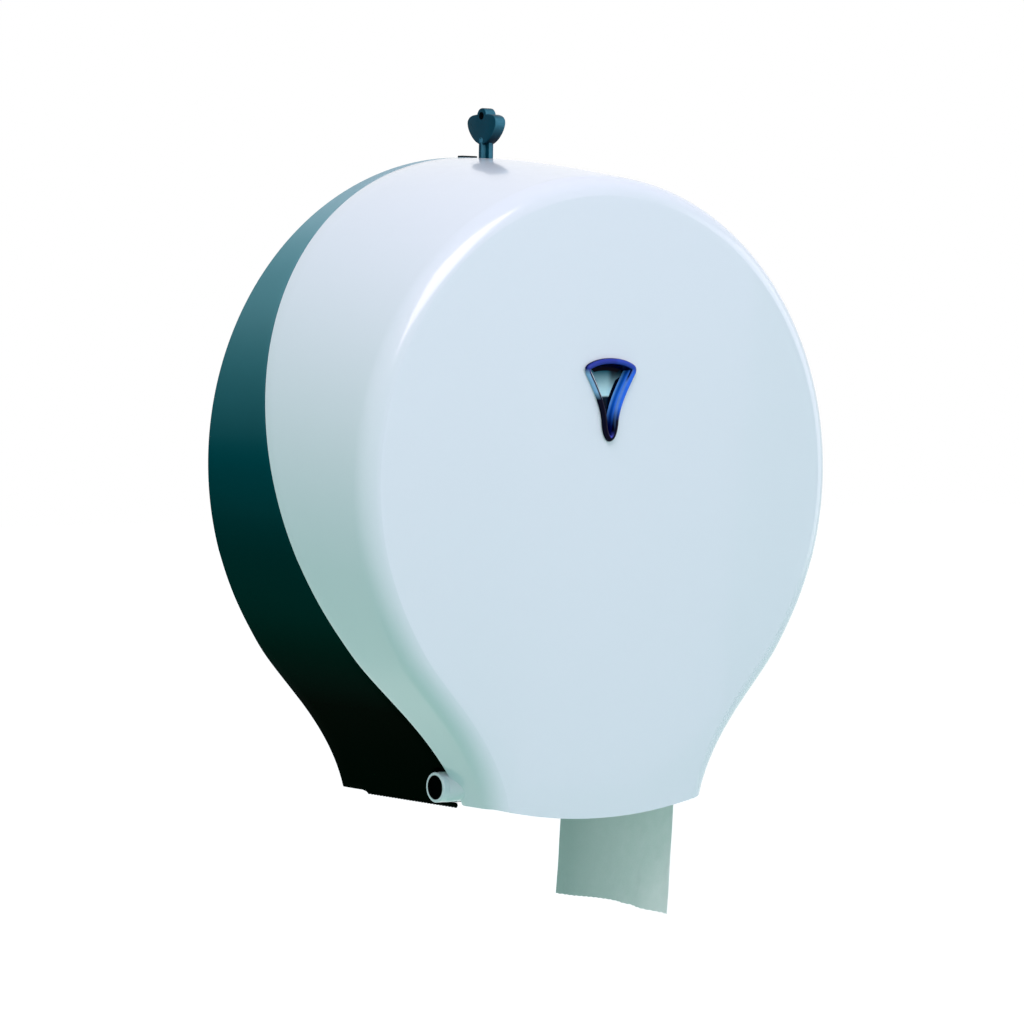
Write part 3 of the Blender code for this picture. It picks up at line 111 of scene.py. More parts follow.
# Rear shell
SHELL_WALL = 2.5 * MM
SHELL_PLATE = 3 * MM
SHELL_BACK_ROUND = 1.2 * MM
BACK_ROUND_SHARE = 0.25
LIP_GAP = 0.8 * MM
LIP_WALL = 1.4 * MM
LIP_REACH = 3 * MM
LIP_FOOT_REACH = 0.2 * MM
LIP_FULL_HEIGHT = 45 * MM
LIP_ROOT = 1.5 * MM
SPINDLE_PAD_RADIUS = 36 * MM
SPINDLE_PAD_HEIGHT = 3 * MM
FIXING_HALF_SPAN = 60 * MM
FIXING_RISE = 62 * MM
FIXING_HOLE_RADIUS = 2.6 * MM
KEYHOLE_ENTRY_RADIUS = 5 * MM
KEYHOLE_RISE = 9 * MM
WALL_RIM = 14 * MM
WALL_RECESS = 1 * MM
FIXING_PAD_RADIUS = 16 * MM
RIDGE_HALF_WIDTH = 5 * MM
RIDGE_RISE = 1 * MM
RIDGE_FRONT_DEPTH = 5.9 * MM
RIDGE_LENGTH = 4.4 * MM
RIDGE_ROUND = 0.25 * MM

# Hinge at the two bottom corners
HINGE_DEPTH = 91 * MM
HINGE_HEIGHT = 8.9 * MM
BARREL_RADIUS = 7.8 * MM
BARREL_BORE_RADIUS = 6.2 * MM
BARREL_END = 81.5 * MM
BARREL_ROOT = 69.8 * MM
BARREL_RIM_ROUND = 0.5 * MM
FAIRING_REACH = 17 * MM
FAIRING_START_SHARE = 0.35
FAIRING_STEPS = 14
NOTCH_RADIUS = 10.3 * MM
LUG_THICKNESS = 4.4 * MM
LUG_GAP = 0.4 * MM
LUG_RADIUS = 8.4 * MM
LUG_BACK_DEPTH = 64 * MM
LUG_BLOCK_LENGTH = 15.5 * MM
LUG_BLOCK_SPREAD = 71.6 * MM
LUG_LEAN_SHARE = 0.4
LUG_OUTER = BARREL_ROOT - LUG_GAP
LUG_INNER = LUG_OUTER - LUG_THICKNESS
PIN_RADIUS = 5.9 * MM
PIN_HEAD_RADIUS = 7 * MM
PIN_HEAD = 1.5 * MM

# Level window in the front of the cover
WINDOW_HALF_WIDTH = 17 * MM
WINDOW_HEIGHT = 43.3 * MM
WINDOW_TIP_HEIGHT = 187.3 * MM
WINDOW_STEPS = 16
WINDOW_RIM_RISE = 2.4 * MM
WINDOW_RIM_WIDTH = 3.2 * MM
WINDOW_RIM_STEPS = 8
WINDOW_PANE_DROP = 6 * MM
WINDOW_PANE_CROWN = 0.6 * MM
WINDOW_PANE_INSET = 4.6 * MM
WINDOW_VIEW_INSET = 6.6 * MM
WINDOW_CROWN_STEPS = 5
WINDOW_LEAST_SHARE = 0.2
WINDOW_MIDDLE_SHARE = 0.66
WINDOW_FLANGE = 2 * MM
WINDOW_WALL = 1.6 * MM
WINDOW_PLUG_LENGTH = 5 * MM
WINDOW_OUTLINE_SHARES = (
    ((0, 0), (0.14, 0), (0.28, 0.08), (0.31, 0.22)),
    ((0.31, 0.22), (0.35, 0.42), (0.66, 0.62), (0.955, 0.81)),
    ((0.955, 0.81), (1.02, 0.875), (0.98, 0.91), (0.81, 0.94)),
    ((0.81, 0.94), (0.55, 0.985), (0.27, 1), (0, 1)),
)

# Lock in the top of the cover
LOCK_DEPTH = 20 * MM
LOCK_TOP_HEIGHT = 332 * MM
KEYWAY_RADIUS = 4.7 * MM
COLLAR_INNER_RADIUS = 8.5 * MM
COLLAR_WALL = 1.8 * MM
COLLAR_DROP = 6 * MM
COLLAR_ROOT = 2 * MM

# Strike's boss and screws on the shell
STRIKE_BOSS = 3 * MM
STRIKE_BOSS_MARGIN = 1 * MM
STRIKE_HALF_WIDTH = 16 * MM
STRIKE_FOOT_HEIGHT = 320 * MM
STRIKE_TOP_HEIGHT = 329.3 * MM

# Key
KEY_THICKNESS = 6.9 * MM
KEY_HALF_WIDTH = 12.3 * MM
KEY_HEAD_HEIGHT = 16.4 * MM
KEY_HEAD_FOOT_HEIGHT = 342.4 * MM
KEY_EYE_RADIUS = 4.2 * MM
KEY_EYE_HOLE_RADIUS = 2.05 * MM
KEY_EYE_RISE = 15.5 * MM
KEY_BLADE_WIDTH = 8 * MM
KEY_BLADE_THICKNESS = 2.2 * MM
KEY_BLADE_ROOT = 3 * MM
KEY_BEVEL = 0.7 * MM
KEY_DIMPLE_RADIUS = 1.5 * MM
KEY_DIMPLE_DEPTH = 0.5 * MM
KEY_DIMPLE_RISE = 2.6 * MM
KEY_STEPS = 14
KEY_OUTLINE_SHARES = (
    ((0, 0), (0.4, 0.02), (0.79, 0.28), (0.95, 0.52)),
    ((0.95, 0.52), (1.05, 0.67), (1.07, 0.82), (0.88, 0.91)),
    ((0.88, 0.91), (0.72, 0.99), (0.45, 1), (0, 1)),
)

# Roll
ROLL_RADIUS = 130 * MM
ROLL_WIDTH = 94.5 * MM
ROLL_BACK_DEPTH = 16.5 * MM
CORE_OUTER_RADIUS = 32 * MM
CORE_WALL = 2 * MM
CORE_EDGE_ROUND = 0.25 * MM
ROLL_STEPS = 192
ROLL_EDGE_ROUND = 1.2 * MM

# Paper tail that hangs out of the outlet on the right
TAIL_PLY = 0.16 * MM
TAIL_ROLL_GAP = 0.6 * MM
TAIL_LEAVE_ANGLE = 25 * DEGREE
TAIL_LEAVE_PULL = 45.4 * MM
TAIL_OUTLET_HALF = 63.2 * MM
TAIL_OUTLET_HEIGHT = 17.5 * MM
TAIL_OUTLET_PULL = 35.2 * MM
TAIL_OUTLET_LEAN_SHARE = 0.1
TAIL_DROP = 65 * MM
TAIL_CURL = 4.5 * MM
TAIL_TORN_RISE = 2 * MM
TAIL_FOLD = 1.8 * MM
TAIL_FOLDS_SHARES = ((0.62, 0.05, 0.7), (0.78, 0.06, 1), (0.93, 0.05, -0.6))
TAIL_INNER_STEPS = 40
TAIL_HANGING_STEPS = 48
TAIL_WIDTH_STEPS = 64
TAIL_TEAR = 0.35 * MM
TAIL_TEAR_PITCH = 4.2 * MM
TAIL_CRINKLE = 0.25 * MM
TAIL_CRINKLE_WAVES = (37, 5, 11, 19)
TAIL_TORN_ONSET = 4
TAIL_TEAR_ONSET = 30

# Camera, fitted to the photograph
CAMERA_AZIMUTH = -38.14 * DEGREE
CAMERA_ELEVATION = 2.3 * DEGREE
CAMERA_ROLL = 0.85 * DEGREE
CAMERA_DISTANCE = 2272.5 * MM
CAMERA_AIM_DEPTH = 64 * MM
CAMERA_AIM_HEIGHT = 170 * MM
CAMERA_SENSOR = 36
IMAGE_PIXELS = 1024
PIXELS_PER_MM = 1.89
AIM_PIXEL_X = 531.96
AIM_PIXEL_Y = 470.07

# Stage
WORLD_STOPS = (
    (0.0, (0.2, 0.3, 0.3)),
    (0.5, (0.41, 0.53, 0.51)),
    (0.62, (0.41, 0.52, 0.5)),
    (0.8, (0.33, 0.4, 0.45)),
    (1.0, (0.55, 0.66, 0.75)),
)
# Lamps: place, aim, side, watts, colour, whether they light surfaces and whether they are mirrored in them
LAMPS = {
    "overhead_softbox": ((-0.65, -0.9, 1.4), (0, -0.06, 0.05), 1.2, 19.5, (1.03, 0.81, 0.9), True, False),
    "gleam": ((-0.155, -1.343, 1.18), (0, -0.06, 0.05), 1.05, 20, (1.03, 0.81, 0.9), False, True),
    "front_softbox": ((1.0, -2.4, 0.5), (0, -0.06, 0), 2.0, 11.2, (1.0, 0.69, 1.03), True, True),
    "side_softbox": ((2.2, -0.9, 0.3), (0, -0.06, 0), 1.5, 10.7, (1.0, 0.88, 0.98), True, True),
}
FLOOR_DROP = 0.8
FLOOR_HALF = 12
FLOOR_BOUNCE = (0.46, 0.8, 0.61, 1)
FLOOR_GLOW = 0.88
WHITE = (1, 1, 1, 1)

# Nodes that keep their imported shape
GREY_NODES = (
    "spindle", "hub_retainer", "roll_hub", "window_clip", "lock_housing", "lock_barrel", "lock_strike",
)
TRIM_BEVEL = 0.15 * MM
MOULDED_BEVEL = 0.3 * MM
SCREW_BEVEL = 0.2 * MM

SIDES = (-1, 1)
FIXINGS = [(x * FIXING_HALF_SPAN, SPINDLE_HEIGHT + y * FIXING_RISE, y) for y in (1, -1) for x in SIDES]
ROUND_STEPS = 48
ROD_TWIST = 3.7 * DEGREE
SHARP_ANGLE = 35 * DEGREE
MERGE = 0.001 * MM
PACKED_MERGE = 0.01 * MM
EASED = {"segments": 2, "profile": 0.5, "affect": "EDGES"}

TO_ROOM = Vector((0, -1, 0))
RIGHT = Vector((1, 0, 0))
UP = Vector((0, 0, 1))


def spot(x, depth, height):
    return Vector((x, -depth, height - SPINDLE_HEIGHT))


def runs(start, end, steps):
    return [start + (end - start) * i / steps for i in range(steps + 1)]


QUARTER = runs(0, math.pi / 2, ROUND_EDGE_STEPS)


# Finishes


def add_node(tree, kind, inputs=None, **settings):
    """A node with its settings. An input takes a value or another node's output."""
    made = tree.nodes.new(kind)
    for name, value in settings.items():
        setattr(made, name, value)
    for socket, value in (inputs or {}).items():
        if isinstance(value, bpy.types.NodeSocket):
            tree.links.new(value, made.inputs[socket])
        else:
            made.inputs[socket].default_value = value
    return made


def set_stops(ramp, stops):
    """Gives a colour ramp its stops, each a position and a colour."""
    for element, (position, colour) in zip(ramp.elements, (stops[0], stops[-1])):
        element.position = position
        element.color = (*colour, 1)
    for position, colour in stops[1:-1]:
        ramp.elements.new(position).color = (*colour, 1)


class Finish:
    """A Principled material built from its entry in FINISHES."""

    def __init__(self, name):
        look = FINISHES[name]
        colour, roughness, sockets = look["base"]
        self.material = bpy.data.materials.new(name)
        self.material.use_nodes = True
        self.tree = self.material.node_tree
        self.inputs = self.tree.nodes["Principled BSDF"].inputs
        self.place = self.node("ShaderNodeTexCoord").outputs["Object"]
        sockets = {"Base Color": (*colour, 1), "Roughness": roughness, **sockets}
        for socket, value in sockets.items():
            self.inputs[socket].default_value = value
        if "stops" in look:
            ramp = self.node("ShaderNodeValToRGB", {"Fac": self.share(*look["stops_along"])})
            ramp.color_ramp.interpolation = "CARDINAL"
            set_stops(ramp.color_ramp, look["stops"])
            self.link(ramp.outputs["Color"], "Base Color")
        for colour, *shares in look.get("tints", ()):
            self.tint([self.share(*share) for share in shares], colour)
        if "grain" in look:
            cells, detail, low, high, *stretch = look["grain"]
            self.link(self.ranged(self.noise(cells, detail, *stretch), low, high), "Roughness")
        for cells, detail, strength, distance, *shape in look.get("reliefs", ()):
            self.bump(self.noise(cells, detail, *shape), strength, distance)

    def node(self, kind, inputs=None, **settings):
        return add_node(self.tree, kind, inputs, **settings)

    def link(self, out, socket):
        self.tree.links.new(out, self.inputs[socket])

    def vector_math(self, operation, *values):
        return self.node("ShaderNodeVectorMath", dict(enumerate(values)), operation=operation).outputs

    def noise(self, cells, detail, stretch=None, roughness=0.5):
        """Noise with that many cells in a metre, stretched if it is given three factors."""
        place = self.place
        if stretch:
            place = self.node("ShaderNodeMapping", {"Vector": place, "Scale": stretch}).outputs["Vector"]
        inputs = {"Vector": place, "Scale": cells, "Detail": detail, "Roughness": roughness}
        return self.node("ShaderNodeTexNoise", inputs).outputs["Fac"]

    def ranged(self, value, low, high, start=0.3, end=0.7, kind="LINEAR"):
        """A value mapped so that start to end become low to high."""
        inputs = {"Value": value, "From Min": start, "From Max": end, "To Min": low, "To Max": high}
        return self.node("ShaderNodeMapRange", inputs, interpolation_type=kind).outputs["Result"]

    def followed(self, what):
        """What a share follows: the place along X, Y or Z, how far the surface faces a direction, or
        the distance from a line or point, which is given by the axes that count and a centre."""
        if isinstance(what, str):
            return self.node("ShaderNodeSeparateXYZ", {"Vector": self.place}).outputs[what]
        if isinstance(what, Vector):
            normal = self.node("ShaderNodeTexCoord").outputs["Normal"]
            return self.vector_math("DOT_PRODUCT", normal, what)["Value"]
        axes, centre = what
        offset = self.vector_math("SUBTRACT", self.place, centre)["Vector"]
        counted = self.vector_math("MULTIPLY", offset, axes)["Vector"]
        return self.vector_math("LENGTH", counted)["Value"]

    def share(self, what, start, end, most=1, kind="LINEAR"):
        """0 at start and most at end, or noise with its cells, detail and greatest share."""
        if what == NOISE:
            return self.ranged(self.noise(start, end), 0, most)
        return self.ranged(self.followed(what), 0, most, start, end, kind)

    def tint(self, shares, colour):
        """Mixes a colour over the base colour by the product of shares."""
        whole = shares[0]
        for share in shares[1:]:
            whole = self.node("ShaderNodeMath", {0: whole, 1: share}, operation="MULTIPLY").outputs["Value"]
        base = self.inputs["Base Color"]
        under = base.links[0].from_socket if base.links else tuple(base.default_value)
        mix = self.node("ShaderNodeMix", {"Factor": whole, "A": under, "B": (*colour, 1)}, data_type="RGBA")
        self.link(mix.outputs["Result"], "Base Color")

    def bump(self, height, strength, distance):
        inputs = {"Height": height, "Strength": strength, "Distance": distance}
        if self.inputs["Normal"].links:
            inputs["Normal"] = self.inputs["Normal"].links[0].from_socket
        self.link(self.node("ShaderNodeBump", inputs).outputs["Normal"], "Normal")


def down_wall(start, end):
    """A share down the window's inner walls, between two shares of their depth."""
    drop = WINDOW_PANE_DROP - WINDOW_RIM_RISE
    return "Y", start * drop - DEPTH, end * drop - DEPTH


# The base is colour, roughness and other sockets. A tint is a colour and its shares. A share is what it
# follows, where it is 0 and where it is 1, then its most and its kind if they aren't 1 and linear, or noise
# with its cells in a metre, detail and most. Grain is cells, detail, least and greatest roughness and
# stretch. A relief is cells, detail, strength, distance, stretch and roughness.
NOISE = "noise"
SPECULAR = "Specular IOR Level"
LEFT, DOWN = -RIGHT, -UP
ROLL_LINE = ((1, 0, 1), (0, 0, 0))
HINGE_LINE = ((0, 1, 1), spot(0, HINGE_DEPTH, HINGE_HEIGHT))
EYE_LINE = ((0, 1, 1), spot(0, LOCK_DEPTH, KEY_HEAD_FOOT_HEIGHT + KEY_EYE_RISE))
DIMPLE_CENTRE = ((1, 1, 1), spot(-KEY_THICKNESS / 2, LOCK_DEPTH, KEY_HEAD_FOOT_HEIGHT + KEY_DIMPLE_RISE))
TINT_EDGE = KEY_BEVEL / 8
RIDGE_FOOT = BODY_HEIGHT - TOP_DROOP - SPINDLE_HEIGHT
ON_RIM_LEFT = (("X", -2 * MM, -4 * MM), ("Z", 37 * MM, 41 * MM), ("Z", 53 * MM, 50 * MM))
ON_RIM_RIGHT = ("X", 2 * MM, 4 * MM)
ON_RIM_TOP = ("Z", 46 * MM, 49 * MM)
ON_WALL_TOP = ("Z", 22 * MM, 36 * MM, 1, "SMOOTHSTEP")
FINISHES = {
    # White cover, with the slight waviness of a large moulding, and painted shade inside its hinge bores
    "cover_gloss_plastic": {
        "base": ((0.695, 0.79, 0.845), 0.2, {SPECULAR: 0.35, "Coat Weight": 0.4, "Coat Roughness": 0.03}),
        "tints": (
            ((0.675, 0.775, 0.83), (NOISE, 9, 3, 0.35)),
            # Painted shade: the walls of the hinge bores are nearly black
            ((0.003, 0.004, 0.004), (HINGE_LINE, BARREL_BORE_RADIUS + FIT_GAP, BARREL_BORE_RADIUS)),
        ),
        "grain": (60, 4, 0.17, 0.24),
        "reliefs": ((55, 1, 0.06, 1 * MM), (700, 2, 0.04, 0.2 * MM)),
    },
    # Petrol shell with a painted satin sheen: nearly black at the foot as painted shade, paler towards the
    # top as a painted reflection, its ridge dark
    "shell_dark_plastic": {
        "base": ((0.007, 0.08, 0.096), 0.3, {SPECULAR: 0.0005}),
        # Painted shade and painted reflection: the base colour follows the height
        "stops_along": ("Z", -125 * MM, 157 * MM),
        "stops": (
            (0.0, (0.0, 0.003, 0.001)),
            (0.16, (0.0, 0.024, 0.02)),
            (0.35, (0.0004, 0.041, 0.0445)),
            (0.5, (0.007, 0.08, 0.096)),
            (0.69, (0.057, 0.186, 0.213)),
            (0.86, (0.151, 0.325, 0.36)),
            (1.0, (0.33, 0.5, 0.54)),
        ),
        "tints": (
            ((0.0, 0.008, 0.012), ("Z", RIDGE_FOOT, RIDGE_FOOT + RIDGE_ROUND)),
            ((0.001, 0.008, 0.008), (NOISE, 25, 4, 0.06)),
        ),
        "reliefs": ((2600, 3, 0.12, 0.2 * MM), (40, 1, 0.05, 1 * MM)),
    },
    # Hinge pins, deep in their bores, black plastic without gloss that also stands in as painted shade
    # there
    "pin_black_painted_shade": {
        "base": ((0.0006, 0.0012, 0.0012), 0.5, {SPECULAR: 0}),
        "tints": (((0.0012, 0.002, 0.002), (NOISE, 200, 3, 0.5)),),
    },
    # Inner mouldings
    "moulded_grey_plastic": {
        "base": ((0.42, 0.45, 0.47), 0.42, {}),
        "tints": (((0.38, 0.41, 0.43), (NOISE, 40, 4, 0.6)),),
        "grain": (120, 4, 0.36, 0.5),
        "reliefs": ((1800, 3, 0.1, 0.2 * MM),),
    },
    # Key, with painted light on the faces towards the room, painted shade below and in a black eye, and a
    # painted highlight in the dimple
    "key_petrol_plastic": {
        "base": ((0.0005, 0.042, 0.07), 0.3, {SPECULAR: 0.04}),
        "tints": (
            # Painted light on faces towards the room, painted shade on faces turned down
            ((0.045, 0.18, 0.24), (TO_ROOM, 0.3, 0.9)),
            ((0.001, 0.01, 0.02), (DOWN, 0.2, 0.8)),
            # Painted shade in the eye, painted highlight in the dimple
            ((0, 0.001, 0.002), (EYE_LINE, KEY_EYE_HOLE_RADIUS + TINT_EDGE, KEY_EYE_HOLE_RADIUS)),
            ((0.06, 0.22, 0.32), (DIMPLE_CENTRE, KEY_DIMPLE_RADIUS + TINT_EDGE, KEY_DIMPLE_RADIUS)),
            ((0.008, 0.065, 0.09), (NOISE, 150, 4, 0.1)),
        ),
        "grain": (300, 4, 0.26, 0.38),
        "reliefs": ((3000, 2, 0.1, 0.2 * MM),),
    },
    # Screws and cam, with fine turning marks
    "bright_steel": {
        "base": ((0.62, 0.62, 0.64), 0.3, {"Metallic": 1}),
        "tints": (((0.52, 0.52, 0.53), (NOISE, 350, 4, 0.6)),),
        "grain": (500, 4, 0.22, 0.42, (1, 1, 8)),
        "reliefs": ((4000, 2, 0.08, 0.1 * MM, (1, 1, 6)),),
    },
    # Window's raised rim: painted reflections in blue over its top and right side and pale on the left,
    # nearly black at the tip
    "window_rim_blue": {
        "base": ((0.0004, 0.0008, 0.012), 0.08, {SPECULAR: 0.05}),
        "tints": (
            # Painted reflections and painted highlights, by side, height and facing
            ((0.02, 0.15, 0.78), ON_RIM_RIGHT, ("Z", 26 * MM, 34 * MM)),
            ((0.13, 0.3, 0.72), ON_RIM_RIGHT, (LEFT, 0.55, 0.9)),
            ((0.035, 0.06, 0.4), ("Z", 50 * MM, 54 * MM, 0.85)),
            ((0.0005, 0.002, 0.05), ON_RIM_TOP, (TO_ROOM, 0.65, 0.3)),
            ((0.0005, 0.001, 0.02), ON_RIM_TOP, (LEFT, -0.35, -0.6)),
            ((0.27, 0.5, 0.78), *ON_RIM_LEFT, (LEFT, 0.1, 0.45)),
            ((0.8, 0.9, 1.0), *ON_RIM_LEFT, (LEFT, -0.25, -0.45)),
            # Painted glint at the tip
            ((0.05, 0.07, 0.5), ("Z", 21 * MM, 18 * MM), (UP, 0.1, 0.6)),
        ),
        "reliefs": ((180, 1, 0.05, 0.5 * MM),),
    },
    # Window's inner walls: painted light along both edges, painted shade under the top and at the tip
    "window_wall_blue": {
        "base": ((0.0, 0.004, 0.09), 0.1, {SPECULAR: 0.05}),
        "tints": (
            # Painted light in blue over the upper walls, painted shade on faces turned down
            ((0.003, 0.1, 0.52), ON_WALL_TOP),
            ((0.13, 0.4, 0.87), ON_WALL_TOP, down_wall(0.55, 0.9)),
            ((0.045, 0.22, 0.87), ON_WALL_TOP, down_wall(0.3, 0.1)),
            ((0.0, 0.002, 0.03), (DOWN, 0.3, 0.7)),
        ),
        "reliefs": ((160, 1, 0.05, 0.5 * MM),),
    },
    # Border of the pane, painted nearly black as shade of the plug that stands behind it
    "window_border_painted_shade": {
        "base": ((0.0003, 0.0006, 0.004), 0.1, {SPECULAR: 0.02}),
        "tints": (((0.0006, 0.001, 0.01), (NOISE, 140, 2, 0.5)),),
    },
    # Pane, with the side of the roll and the dark hollow of its core painted on as if seen through it, and
    # painted shade towards the top and along the right
    "window_pane_teal": {
        "base": ((0.6, 0.92, 0.92), 0.1, {SPECULAR: 0.03}),
        "tints": (
            # Painted shade towards the top of the pane, along its right side and in the hollow of the core
            ((0.004, 0.1, 0.15), ("Z", 41 * MM, 52 * MM)),
            ((0.0003, 0.001, 0.004), ("X", 0.5 * MM, 4.5 * MM, 1, "SMOOTHSTEP"), ("Z", 42 * MM, 52 * MM)),
            ((0.0004, 0.0008, 0.005), (ROLL_LINE, 39.2 * MM, 38.2 * MM)),
            ((0.05, 0.2, 0.3), (NOISE, 300, 3, 0.1)),
        ),
    },
    # Soft white tissue with fibres and a fine emboss, and painted shade towards the wall
    "tissue_paper": {
        "base": ((0.9, 0.91, 0.93), 0.95, {
            "Sheen Weight": 0.05, "Subsurface Weight": 0.5,
            "Subsurface Radius": (1, 1, 1), "Subsurface Scale": 2 * MM,
        }),
        "tints": (
            ((0.72, 0.8, 0.78), (NOISE, 160, 5, 0.4)),
            # Painted shade towards the wall
            ((0.28, 0.38, 0.36), ("Y", -105 * MM, -25 * MM)),
        ),
        "reliefs": (
            (900, 5, 0.35, 0.4 * MM, (1, 1, 0.4), 0.65),
            (220, 3, 0.3, 0.8 * MM, (1, 1, 0.25)),
        ),
    },
    # The same tissue wound up
    "wound_tissue": {"base": ((0.82, 0.86, 0.85), 0.95, {"Sheen Weight": 0.1})},
    # Card of the core
    "core_card": {
        "base": ((0.42, 0.33, 0.23), 0.9, {}),
        "tints": (((0.33, 0.25, 0.17), (NOISE, 500, 5, 0.8)),),
        "reliefs": ((1500, 4, 0.3, 0.3 * MM, (1, 0.2, 1)),),
    },
    # Floor of the stage
    "pale_floor": {"base": ((0.35, 0.35, 0.35), 0.9, {SPECULAR: 0})},
}
WOUND_LAYERS = {"Scale": 1400, "Detail": 3}
WOUND_TINT_RANGE = (0, 0.6, 0.35, 0.65)
WOUND_TINT = (0.68, 0.74, 0.73)
WOUND_LAYER_BUMP = (0.5, 0.5 * MM)
WOUND_FIBRES = (900, 4)
WOUND_FIBRE_BUMP = (0.25, 0.4 * MM)


def material(name):
    return Finish(name).material


def wound_material():
    """Wound tissue, with its layers showing on the sides of the roll."""
    made = Finish("wound_tissue")
    inputs = {"W": made.followed(ROLL_LINE), **WOUND_LAYERS}
    layers = made.node("ShaderNodeTexNoise", inputs, noise_dimensions="1D").outputs["Fac"]
    made.tint([made.ranged(layers, *WOUND_TINT_RANGE)], WOUND_TINT)
    made.bump(layers, *WOUND_LAYER_BUMP)
    made.bump(made.noise(*WOUND_FIBRES), *WOUND_FIBRE_BUMP)
    return made.material


# Shape helpers


def placed(name, data):
    made = bpy.data.objects.new(name, data)
    bpy.context.scene.collection.objects.link(made)
    return made


def smoothed(mesh):
    mesh.shade_smooth()
    mesh.set_sharp_from_angle(angle=SHARP_ANGLE)


def piece(name, shape, look):
    """Turns a bmesh into a smooth-shaded object."""
    bmesh.ops.recalc_face_normals(shape, faces=shape.faces[:])
    mesh = bpy.data.meshes.new(name)
    shape.to_mesh(mesh)
    shape.free()
    mesh.materials.append(look)
    smoothed(mesh)
    return placed(name, mesh)


def stand_in(made, body, node):
    """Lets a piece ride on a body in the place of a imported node."""
    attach(made, body)
    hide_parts(node)


def carved(target, *steps):
    """Adds or cuts away helper shapes, each given after its operation."""
    helpers = []
    for number, (operation, shape) in enumerate(steps):
        helper = piece(f"{target.name}_helper_{number}", shape, target.data.materials[0])
        helper.hide_render = True
        helpers.append(helper)
        step = target.modifiers.new(helper.name, "BOOLEAN")
        step.operation = operation
        step.object = helper
        step.solver = "EXACT"
    bpy.context.view_layer.update()
    graph = bpy.context.evaluated_depsgraph_get()
    mesh = bpy.data.meshes.new_from_object(target.evaluated_get(graph))
    target.modifiers.clear()
    target.data = mesh
    for helper in helpers:
        bpy.data.objects.remove(helper)
    smoothed(mesh)


def merged(shape):
    bmesh.ops.remove_doubles(shape, verts=shape.verts[:], dist=MERGE)
    return shape


def pushed(shape, move):
    """Thickens the faces of a shape along one vector."""
    made = bmesh.ops.extrude_face_region(shape, geom=shape.faces[:])["geom"]
    moved = [item for item in made if isinstance(item, bmesh.types.BMVert)]
    bmesh.ops.translate(shape, verts=moved, vec=move)
    return shape


def slab(points, move):
    shape = bmesh.new()
    shape.faces.new([shape.verts.new(point) for point in points])
    return pushed(shape, move)


def quads(shape, rows, around=False, number=0):
    """Faces between neighbouring rows of vertices, which may go around, with a material number."""
    for low, high in zip(rows, rows[1:]):
        for i in range(len(low) if around else len(low) - 1):
            j = (i + 1) % len(low)
            shape.faces.new((low[i], low[j], high[j], high[i])).material_index = number


def grid(shape, loops, around=False, number=0):
    """Rows of vertices through points, with the faces between them."""
    rows = [[shape.verts.new(point) for point in loop] for loop in loops]
    quads(shape, rows, around, number)
    return rows


def block(low, high):
    shape = bmesh.new()
    place = Matrix.Translation((low + high) / 2) @ Matrix.Diagonal((*(high - low), 1))
    bmesh.ops.create_cube(shape, size=1, matrix=place)
    return shape


def turned(profile, centre, axis, steps, twist=0):
    """A solid of revolution from (radius, distance along the axis) points, its open ends filled."""
    shape = bmesh.new()
    side = Matrix.Rotation(twist, 3, axis) @ axis.orthogonal().normalized()
    points = [centre + side * radius + axis * along for radius, along in profile]
    verts = [shape.verts.new(point) for point in points]
    edges = [shape.edges.new(pair) for pair in zip(verts, verts[1:])]
    bmesh.ops.spin(shape, geom=verts + edges, cent=centre, axis=axis, angle=math.tau, steps=steps)
    ends = [edge for edge in merged(shape).edges if edge.is_boundary]
    bmesh.ops.holes_fill(shape, edges=ends, sides=0)
    return shape


def rod(radius, start, end, steps=ROUND_STEPS, twist=ROD_TWIST):
    axis = (end - start).normalized()
    return turned(((radius, 0), (radius, (end - start).length)), start, axis, steps, twist)


def lofted(loops):
    """A closed solid through rings of equal count, its first and last ring filled."""
    shape = bmesh.new()
    rings = grid(shape, loops, True)
    shape.faces.new(rings[0])
    shape.faces.new(rings[-1])
    return shape


def joined(*shapes):
    whole = bmesh.new()
    for shape in shapes:
        mesh = bpy.data.meshes.new("helper_part")
        bmesh.ops.recalc_face_normals(shape, faces=shape.faces[:])
        shape.to_mesh(mesh)
        shape.free()
        whole.from_mesh(mesh)
        bpy.data.meshes.remove(mesh)
    return whole


def side_slab(side, near, far, points):
    """A (depth, height) outline pushed across the dispenser on its left (-1) or right (+1) side."""
    return slab([spot(side * near, depth, height) for depth, height in points], RIGHT * side * (far - near))


# Body


def half_outline():
    """Right half of the outline at the wall, from the foot up to the top, its kink softened."""
    def on_circle(angle):
        return Vector((BODY_RADIUS * math.sin(angle), BODY_CENTRE_HEIGHT - BODY_RADIUS * math.cos(angle)))

    def pull(angle, length):
        return Vector((math.cos(angle), math.sin(angle))) * length

    foot, kink = Vector((NECK_HALF_WIDTH, 0)), on_circle(KINK_ANGLE)
    foot_aim = foot + pull(NECK_FOOT_ANGLE, NECK_FOOT_PULL)
    kink_aim = kink - pull(NECK_TOP_ANGLE, NECK_TOP_PULL)
    neck = interpolate_bezier(foot, foot_aim, kink_aim, kink, NECK_STEPS + 1)
    circle = [on_circle(angle) for angle in runs(KINK_ANGLE, math.pi, CIRCLE_STEPS)[1:]]
    points = neck + circle
    start = NECK_STEPS // 2
    end = NECK_STEPS + start
    for _ in range(SMOOTHING_PASSES):
        middle = [(a + 2 * b + c) / 4 for a, b, c in zip(points, points[1:], points[2:])]
        points[start:end] = middle[start - 1:end - 1]
    return [tuple(point) for point in points]


